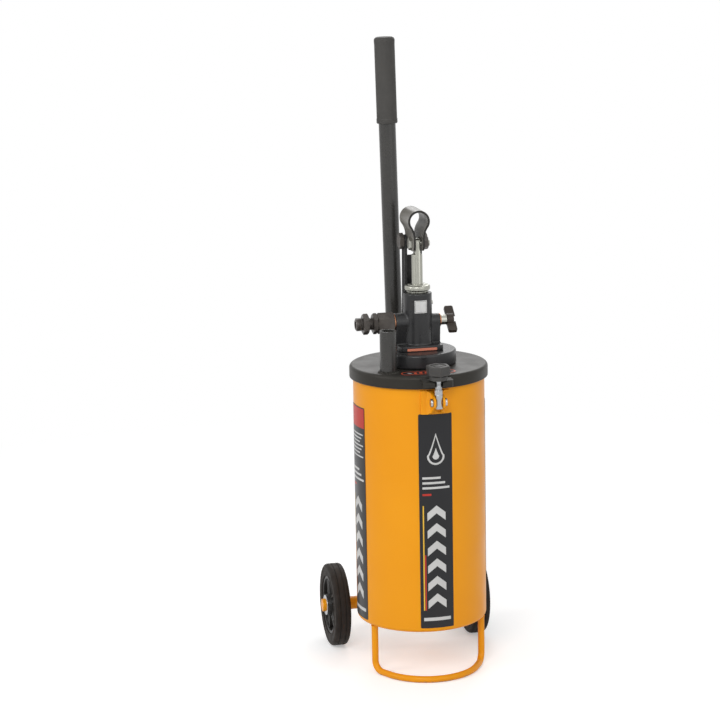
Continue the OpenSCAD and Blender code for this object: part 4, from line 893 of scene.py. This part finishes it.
def makeOutlet(s):
    flats, neck, bore, tip, ridge, pitch, height = pick(s, "flats neck bore tip ridge pitch height")
    near, far = s["adapter"]
    spot = alongX(0, 0, height, True)
    look = ("fittingBlack", "container", "black_paint")
    for name, node, key in (("adapterHex", "outlet_adapter", "adapter"),
                            ("lockNutHex", "lock_nut", "lock"), ("hoseNutHex", "hose_nut", "hose")):
        bm = bmesh.new()
        hexLoop(bm, flats, s[key][0], s[key][1], neck + 0.03, spot)
        if key == "adapter":
            rodLoop(bm, s["stub"], near - s["stubLong"], near + 1.0, spot, 0.4, bore)
        makePiece(name, bm, [look[0]], look[1], (node,), 25)
    bm = bmesh.new()
    low, high = s["thread"]
    core = tip - 0.75
    root = far - s["seat"] + 0.1
    spinLoop(bm, [(bore, root), (neck - 0.4, root), (neck - 0.4, low), (core, low + 0.4),
                  (core, high - 0.9), (core - 0.9, high), (bore, high)], 64, spot)
    leftward = (0, math.radians(-90), 0)
    growThread("nippleThreaded", meshFrom("nippleCore", bm), tip - ridge, ridge, high - low - 1.4, pitch,
               (-low - 0.4, 0, height), leftward, *look, ("outlet_nipple",))
    gapFrom, gapTo = s["lock"][1], s["hose"][0]
    growThread("neckThread", bpy.data.meshes.new("neckSeed"), neck - s["neckRidge"], s["neckRidge"],
               gapTo - gapFrom, pitch, (-gapFrom, 0, height), leftward, *look)


makeOutlet(outletSpec)
print("outlet made")

# cross bolts of the lever clamp
crossSpec = {"height": 514.6, "nut": 6.5, "radius": 3.98, "past": 2.0,
             "rod": {"half": 6.73, "at": 0.0, "flats": 13.0, "head": 3.6},
             "link": {"half": 11.1, "at": 24.0, "flats": 17.0, "head": 5.3}}


def makeCrossBolts(s):
    for kind, finishName, slot in (("rod", "zincAcross", "zinc"), ("link", "fittingBlack", "black_steel")):
        b = s[kind]
        spot = alongX(0, b["at"], s["height"])
        bm = bmesh.new()
        hexLoop(bm, b["flats"], -b["half"] - b["head"], -b["half"], 0.2, spot, True, False, 72)
        rodLoop(bm, s["radius"], -b["half"] - 1.0, b["half"] + s["nut"] + s["past"], spot, 0.7)
        makePiece(kind + "BoltHex", bm, [finishName], "rocker", (kind + "_bolt",), 25)
    bm = bmesh.new()
    for b in (s["rod"], s["link"]):
        hexLoop(bm, b["flats"], b["half"], b["half"] + s["nut"], s["radius"] + 0.04,
                alongX(0, b["at"], s["height"]), True, True, 72)
    makePiece("crossNutsHex", bm, ["fittingBlack"], "rocker", ("cross_nuts",), 25)


makeCrossBolts(crossSpec)
castCopy("wingGrip", "wing_handle", {"voxel": 0.35, "passes": 3}, "wingBrown", "bleed_valve")
print("bolts and wing handle made")

# solids that only need their edges broken: finish, body, slot, then copy, node, edge width, end finish
edgedSpec = [
    ("orangePaint", "container", "orange_paint",
     [("axleRod", "axle", 1.2), ("leftAxlePlate", "left_axle_bracket", 0.6),
      ("rightAxlePlate", "right_axle_bracket", 0.6), ("frontEars", "front_clamp_bracket", 0.5),
      ("rearEars", "rear_clamp_bracket", 0.5)]),
    ("zincBlue", "container", "zinc", [("frontPivotPin", "front_clamp_pin", 0.7),
                                       ("rearPivotPin", "rear_clamp_pin", 0.7)]),
    ("blackPaint", "container", "black_paint", [("frontForkLug", "front_lid_lug", 0.7),
                                                ("rearForkLug", "rear_lid_lug", 0.7)]),
    ("tubePaint", "container", "black_paint", [("nozzleTube", "nozzle_holder", 0.5),
                                               ("leverSocketTube", "lever_holder", 0.5),
                                               ("leverBar", "lever_tube", 0.4)]),
    ("zincPlate", "plunger", "zinc", [("plungerRod", "piston_rod", 0.4)]),
    # the strap's sides take the lighter grey as painted sheen, and its front and back ends take the
    # near-black hub finish, so the two finishes are a lit and a shaded version of one black paint
    ("strapSteel", "rocker", "black_paint", [("strapLoop", "lever_clamp", 0.45, "hubPlastic")]),
    ("castBlack", "link", "black_paint", [("linkChannel", "link", 0.6)]),
    ("zincAcross", "container", "zinc", [("linkPivotPin", "link_pin", 0.6)]),
    ("copperRing", "container", "copper", [("outletRing", "outlet_washer", 0.35),
                                           ("bleedRing", "bleed_washer", 0.35)]),
    ("zincAcross", "bleed_valve", "zinc", [("bleedStemTurned", "bleed_stem", 0.5)]),
    ("zincAcross", "container", "zinc", [("sideScrew", "set_screw", 0.5)]),
]
edgedCount = 0
for finishName, body, slot, rows in edgedSpec:
    for row in rows:
        edgedCopy(*row[:3], finishName, body, slot, *row[3:])
        edgedCount += 1
print("edges broken on", edgedCount, "pieces")

# printed labels: a film with strips of ink on it
labelSpec = {"radius": 78.35, "film": 0.3, "ink": 0.05, "halfWide": 20.25, "low": 66.0, "high": 326.1,
             "corner": 1.5, "textHalf": 16.4, "panelTall": 25, "panelRim": 1.2, "textLines": 7,
             "arrow": {"count": 6, "half": 11.0, "low": 24, "step": 21.5, "rise": 9.0, "thick": 9.5},
             "drops": [(10.5, 199, 38, 1), (8.2, 201.3, 32, 0), (4.0, 205.5, 14, 1)]}


def curvedStrip(bm, rows, inner, outer, centre, index):
    # rows: (across, low, high) in millimetres along the film; builds a thin closed strip on the wall
    def point(across, height, radius):
        turn = math.radians(centre) + across / inner
        return bm.verts.new(onAxis @ Vector((radius * math.cos(turn), radius * math.sin(turn), height)))

    grid = [[point(u, low, inner), point(u, high, inner), point(u, high, outer),
             point(u, low, outer)] for u, low, high in rows]
    faces = []
    for a, b in zip(grid, grid[1:]):
        for k in range(4):
            faces.append(bm.faces.new((a[k], a[(k + 1) % 4], b[(k + 1) % 4], b[k])))
    faces.append(bm.faces.new(grid[0][::-1]))
    faces.append(bm.faces.new(grid[-1]))
    for face in faces:
        face.material_index = index


def spread(low, high, steps):
    return [low + (high - low) * k / steps for k in range(steps + 1)]


def bar(u0, u1, v0, v1):
    return [(u, v0, v1) for u in spread(u0, u1, max(2, math.ceil((u1 - u0) / 1.2)))]


def chevron(half, v0, rise, thick, steps=10):
    return [(u, v0 + rise * (1 - abs(u) / half),
             v0 + thick + rise * (1 - abs(u) / half)) for u in spread(-half, half, 2 * steps)]


def dropShape(half, v0, tall, steps=12):
    rows = []
    for k in range(-steps, steps + 1):
        u = half * math.sin(math.pi / 2 * k / steps)
        belly = math.sqrt(max(0.0, half * half - u * u))
        top = v0 + half + max(belly * 0.4, (tall - half) * (1 - abs(u) / half) ** 1.25)
        rows.append((u, v0 + half - belly - 0.02, top + 0.02))
    return rows


def makeLabel(name, node, centre, s, panel):
    bm = bmesh.new()
    edge, corner, base, high, side, a = pick(s, "halfWide corner low high textHalf arrow")
    straight = edge - corner
    steps = [-edge, -edge + 0.3, -edge + 0.8] + spread(-straight, straight, 32)
    rows = []
    for u in steps + [edge - 0.8, edge - 0.3, edge]:
        inset = max(0.0, abs(u) - straight)
        trim = corner - math.sqrt(max(0.0, corner ** 2 - inset ** 2))
        rows.append((u, base + trim, high - trim))
    outer = s["radius"] + s["film"]
    curvedStrip(bm, rows, s["radius"], outer, centre, 0)
    top = outer + s["ink"]
    pieces = [(bar(-side, -15.0, base + 22, base + 150), 3), (bar(-14.4, -13.0, base + 22, base + 90), 2)]
    pieces += [(chevron(a["half"], base + a["low"] + a["step"] * k, a["rise"], a["thick"]), 1)
               for k in range(a["count"])]
    pieces += [(bar(-side, side, base + 9, base + 13), 1), (bar(-side, -6.0, base + 162, base + 164.5), 2)]
    pieces += [(bar(-side, side - 5.5 * k, base + 170 + 6 * k, base + 172.6 + 6 * k), 1) for k in range(3)]
    if panel:
        pieces += [(bar(-edge + 1.0, edge - 1.0, high - s["panelTall"], high - s["panelRim"]), 2)]
        pieces += [(bar(-side, side - 4 * (k % 3), high - 34 - 4.5 * k, high - 32.4 - 4.5 * k), 1)
                   for k in range(s["textLines"])]
    for shape, index in pieces:
        curvedStrip(bm, shape, outer - 0.1, top, centre, index)
    if not panel:
        for half, low, tall, index in s["drops"]:
            top += s["ink"] / 2
            curvedStrip(bm, dropShape(half, base + low, tall), outer - 0.1, top, centre, index)
    makePiece(name, bm, ["labelFilm", "paleInk", "redInk", "amberInk"], "container", (node,),
              30)


makeLabel("frontLabelPrint", "front_label", -90, labelSpec, False)
makeLabel("leftLabelPrint", "left_label", 186, labelSpec, True)
makeLabel("rightLabelPrint", "right_label", 0, labelSpec, True)

stickerSpec = {"pump": (17.1, 7.5, 434.0, 449.0), "base": (18.0, -20.1, 389.5, 392.5),
               "lid": (66.0, 18.0, (-3.0, -60.0, 371.6)), "thick": 0.3, "frame": (0.8, 1.2),
               "marks": {"count": 7, "from": -16.0, "step": 6.6, "half": 4.2}, "dot": (-22.5, 2.6, 2.0)}


def makeStickers(s):
    bm = bmesh.new()
    radius, half, low, high = s["pump"]
    # blank silver plate with a fine grey frame
    curvedStrip(bm, bar(-half, half, low, high), radius, radius + s["thick"], -90, 0)
    near, far = s["frame"]
    for u0, u1, v0, v1 in (
            (-half + near, half - near, low + near, low + far),
            (-half + near, half - near, high - far, high - near),
            (-half + near, -half + far, low + near, high - near),
            (half - far, half - near, low + near, high - near)):
        curvedStrip(bm, bar(u0, u1, v0, v1), radius + 0.2, radius + s["thick"] + 0.02, -90, 1)
    makePiece("pumpPlate", bm, ["silverFilm", "strapSteel"], "container", ("pump_sticker",),
              30)


def flatFilm(bm, corners, thick, matrix, index):
    low = [bm.verts.new(matrix @ Vector((x, y, 0))) for x, y in corners]
    high = [bm.verts.new(matrix @ Vector((x, y, thick))) for x, y in corners]
    faces = [bm.faces.new(low[::-1]), bm.faces.new(high)]
    count = len(corners)
    for k in range(count):
        faces.append(bm.faces.new((low[k], low[(k + 1) % count], high[(k + 1) % count], high[k])))
    for face in faces:
        face.material_index = index


def roundBox(long, wide, radius):
    x, y = long / 2, wide / 2
    return roundedLoop([(-x, -y, radius), (x, -y, radius), (x, y, radius), (-x, y, radius)], 6)


def makeFlatStickers(s):
    half, y, low, high = s["base"]
    upright = Matrix.Rotation(math.radians(90), 4, "X")
    stand = onAxis @ Matrix.Translation((0, y, (low + high) / 2)) @ upright
    bm = bmesh.new()
    flatFilm(bm, roundBox(2 * half, high - low, 0.8), s["thick"], stand, 0)
    makePiece("baseStrip", bm, ["salmonFilm"], "container", ("base_sticker",), 30)
    long, wide, middle = s["lid"]
    lie = onAxis @ Matrix.Translation(middle)
    bm = bmesh.new()
    # a dark plate with a red frame, slanted red marks and a pale dot
    for inset, radius, lift, index in ((0.0, 8.8, 0.0, 0), (1.0, 7.8, 0.01, 1), (4.2, 6.2, 0.02, 0)):
        flatFilm(bm, roundBox(long - inset, wide - inset, radius), s["thick"] + lift, lie, index)
    m = s["marks"]
    for k in range(m["count"]):
        x = m["from"] + m["step"] * k
        slant = [(x - 2.2, -m["half"]), (x + 1.4, -m["half"]), (x + 3.0, m["half"]), (x - 0.6, m["half"])]
        flatFilm(bm, slant, s["thick"] + 0.03, lie, 1)
    x, across, up = s["dot"]
    turns = [math.radians(a) for a in range(0, 360, 20)]
    flatFilm(bm, [(x + across * math.cos(t), up * math.sin(t)) for t in turns], s["thick"] + 0.04, lie, 2)
    makePiece("lidPlate", bm, ["labelFilm", "redFilm", "paleInk"], "container",
              ("lid_sticker",), 30)


makeStickers(stickerSpec)
makeFlatStickers(stickerSpec)
print("labels and stickers made")

# welds
weldSpec = {
    "nozzle": {"bead": 3.4, "pitch": 3.0, "seed": 4, "finish": "blackPaint", "slot": "black_paint",
               "turn": 47.0, "at": 64, "sunk": 1.2, "radius": 10.6},
    "lever": {"bead": 1.9, "pitch": 2.0, "seed": 9, "finish": "blackPaint", "slot": "black_paint",
              "radius": 13.5},
    "axle": {"bead": 1.5, "pitch": 1.8, "seed": 21, "finish": "orangePaint", "slot": "orange_paint",
             "x": 48.2, "proud": 0.3, "low": 67.0, "step": 3.5, "points": 12},
    "foot": {"bead": 0.7, "pitch": 1.0, "seed": 32, "finish": "orangePaint", "slot": "orange_paint",
             "height": 59.8, "points": 32},
}


def ringPath(x, y, z, radius, count=48):
    return [(x + radius * math.cos(2 * math.pi * k / count),
             y + radius * math.sin(2 * math.pi * k / count), z) for k in range(count)]


def weld(name, kind, points, closed=False):
    s = weldSpec[kind]
    growPiece(name, pathMesh(name + "Path", points, closed), weldTree,
              {"Bead Radius": s["bead"] * mm, "Pitch": s["pitch"] * mm, "Seed": s["seed"],
               "Finish": finishes[s["finish"]]},
              "container", angle=180)


def makeWelds(s):
    lidTop = lidSpec["top"]
    n = s["nozzle"]
    turn = math.radians(n["turn"])
    weld("nozzleWeld", "nozzle", ringPath(-n["at"] * math.sin(turn), -n["at"] * math.cos(turn),
                                          lidTop - n["sunk"], n["radius"]), True)
    turn = math.radians(leverSpec["turn"])
    leverX, leverY = -leverSpec["at"] * math.sin(turn), leverSpec["at"] * math.cos(turn)
    weld("leverSocketWeld", "lever", ringPath(leverX, leverY, lidTop, s["lever"]["radius"]), True)
    a, f = s["axle"], s["foot"]
    wallY = math.sqrt(barrelSpec["radius"] ** 2 - a["x"] ** 2) + a["proud"]
    legX, legY = footSpec["leg"]
    for side, tag in ((-1, "left"), (1, "right")):
        weld(tag + "PlateWeld", "axle", [(side * a["x"], wallY,
                                          a["low"] + a["step"] * k) for k in range(a["points"])])
        weld(tag + "LegWeld", "foot", ringPath(side * legX, legY, f["height"], footSpec["radius"],
                                               f["points"]), True)


makeWelds(weldSpec)
print("welds made")

# solids that stay as they are
stayingSpec = {
    "lid_gasket": "sealRubber", "mounting_disc": "castBlack", "pump_screws": "zincPlate",
    "gland_packing": "sealRubber", "piston": "zincPlate", "piston_seal": "sealRubber",
    "pump_tube": "zincPlate", "foot_valve": "zincPlate", "intake_ball": "zincPlate",
    "follower_plate": "zincPlate", "follower_wiper": "sealRubber",
}
for nodeName, finishName in stayingSpec.items():
    nodes[nodeName].data.materials.clear()
    nodes[nodeName].data.materials.append(finishes[finishName])
print("staying solids dressed:", len(stayingSpec))

# floor, light and white surroundings
stageSpec = {"floor": 30.0, "floorColour": (0.86, 0.86, 0.86), "sky": 0.44, "lift": 0.34, "fadeFrom": 0.35,
             "fadeTo": 1.3, "aim": (0, 0, 0.35)}
lampSpec = {
    "keyLamp": {"place": (-1.1, -2.45, 2.1), "size": 1.3, "power": 36.0},
    "sideLamp": {"place": (-2.3, -0.5, 1.4), "size": 0.9, "power": 15.0},
    "fillLamp": {"place": (1.3, -2.2, 1.3), "size": 1.8, "power": 12.0},
    "backLamp": {"place": (0.6, 2.0, 1.9), "size": 1.4, "power": 20.0},
}


def seenRays(tree):
    # camera, glossy and transmission rays see plain white; the others meet the sky's level
    path = tree.nodes.new("ShaderNodeLightPath")
    seen = mathNode(tree, "MAXIMUM", path.outputs["Is Camera Ray"], path.outputs["Is Glossy Ray"])
    return mathNode(tree, "MAXIMUM", seen, path.outputs["Is Transmission Ray"])


def makeStage(s):
    bm = bmesh.new()
    bmesh.ops.create_grid(bm, x_segments=1, y_segments=1, size=s["floor"])
    mesh = bpy.data.meshes.new("studioFloor")
    bm.to_mesh(mesh)
    bm.free()
    floor = addObject("studioFloor", mesh)
    paint = bpy.data.materials.new("floorPaint")
    tree = freshTree(paint)
    out, matte, glow, both, distance, white, fade = addNodes(tree, "ShaderNode", "OutputMaterial",
                                                             "BsdfDiffuse", "Emission", "AddShader",
                                                             "VectorMath", "Emission", "MixShader")
    setInputs(matte, {"Color": s["floorColour"] + (1.0,)})
    seen = seenRays(tree)
    link(tree, (mathNode(tree, "MULTIPLY", seen, s["lift"]), glow, "Strength"))
    link(tree, (matte, both, 0), (glow, both, 1))
    # the floor turns plain white away from the part
    distance.operation = "LENGTH"
    link(tree, (tree.nodes.new("ShaderNodeTexCoord").outputs["Object"], distance, 0))
    away = rangeNode(tree, distance.outputs["Value"], s["fadeFrom"], s["fadeTo"], 0.0, 1.0)
    link(tree, (mathNode(tree, "MULTIPLY", seen, away), fade, 0), (both, fade, 1), (white, fade, 2),
         (fade, out, "Surface"))
    mesh.materials.append(paint)
    world = bpy.data.worlds.new("studioWorld")
    scene.world = world
    tree = freshTree(world)
    out, back = addNodes(tree, "ShaderNode", "OutputWorld", "Background")
    seen = seenRays(tree)
    link(tree, (rangeNode(tree, seen, 0.0, 1.0, s["sky"], 1.0), back, "Strength"))
    setInputs(back, {"Color": (1, 1, 1, 1)})
    link(tree, (back, out, "Surface"))


def makeLamps(lamps, aimAt):
    aim = Vector(aimAt)
    for name, s in lamps.items():
        data = bpy.data.lights.new(name, "AREA")
        data.size = s["size"]
        data.energy = s["power"]
        lamp = addObject(name, data)
        lamp.location = s["place"]
        lamp.rotation_euler = (aim - Vector(s["place"])).to_track_quat("-Z", "Y").to_euler()


makeStage(stageSpec)
makeLamps(lampSpec, stageSpec["aim"])
scene.view_settings.view_transform = "Standard"
print("stage lit")
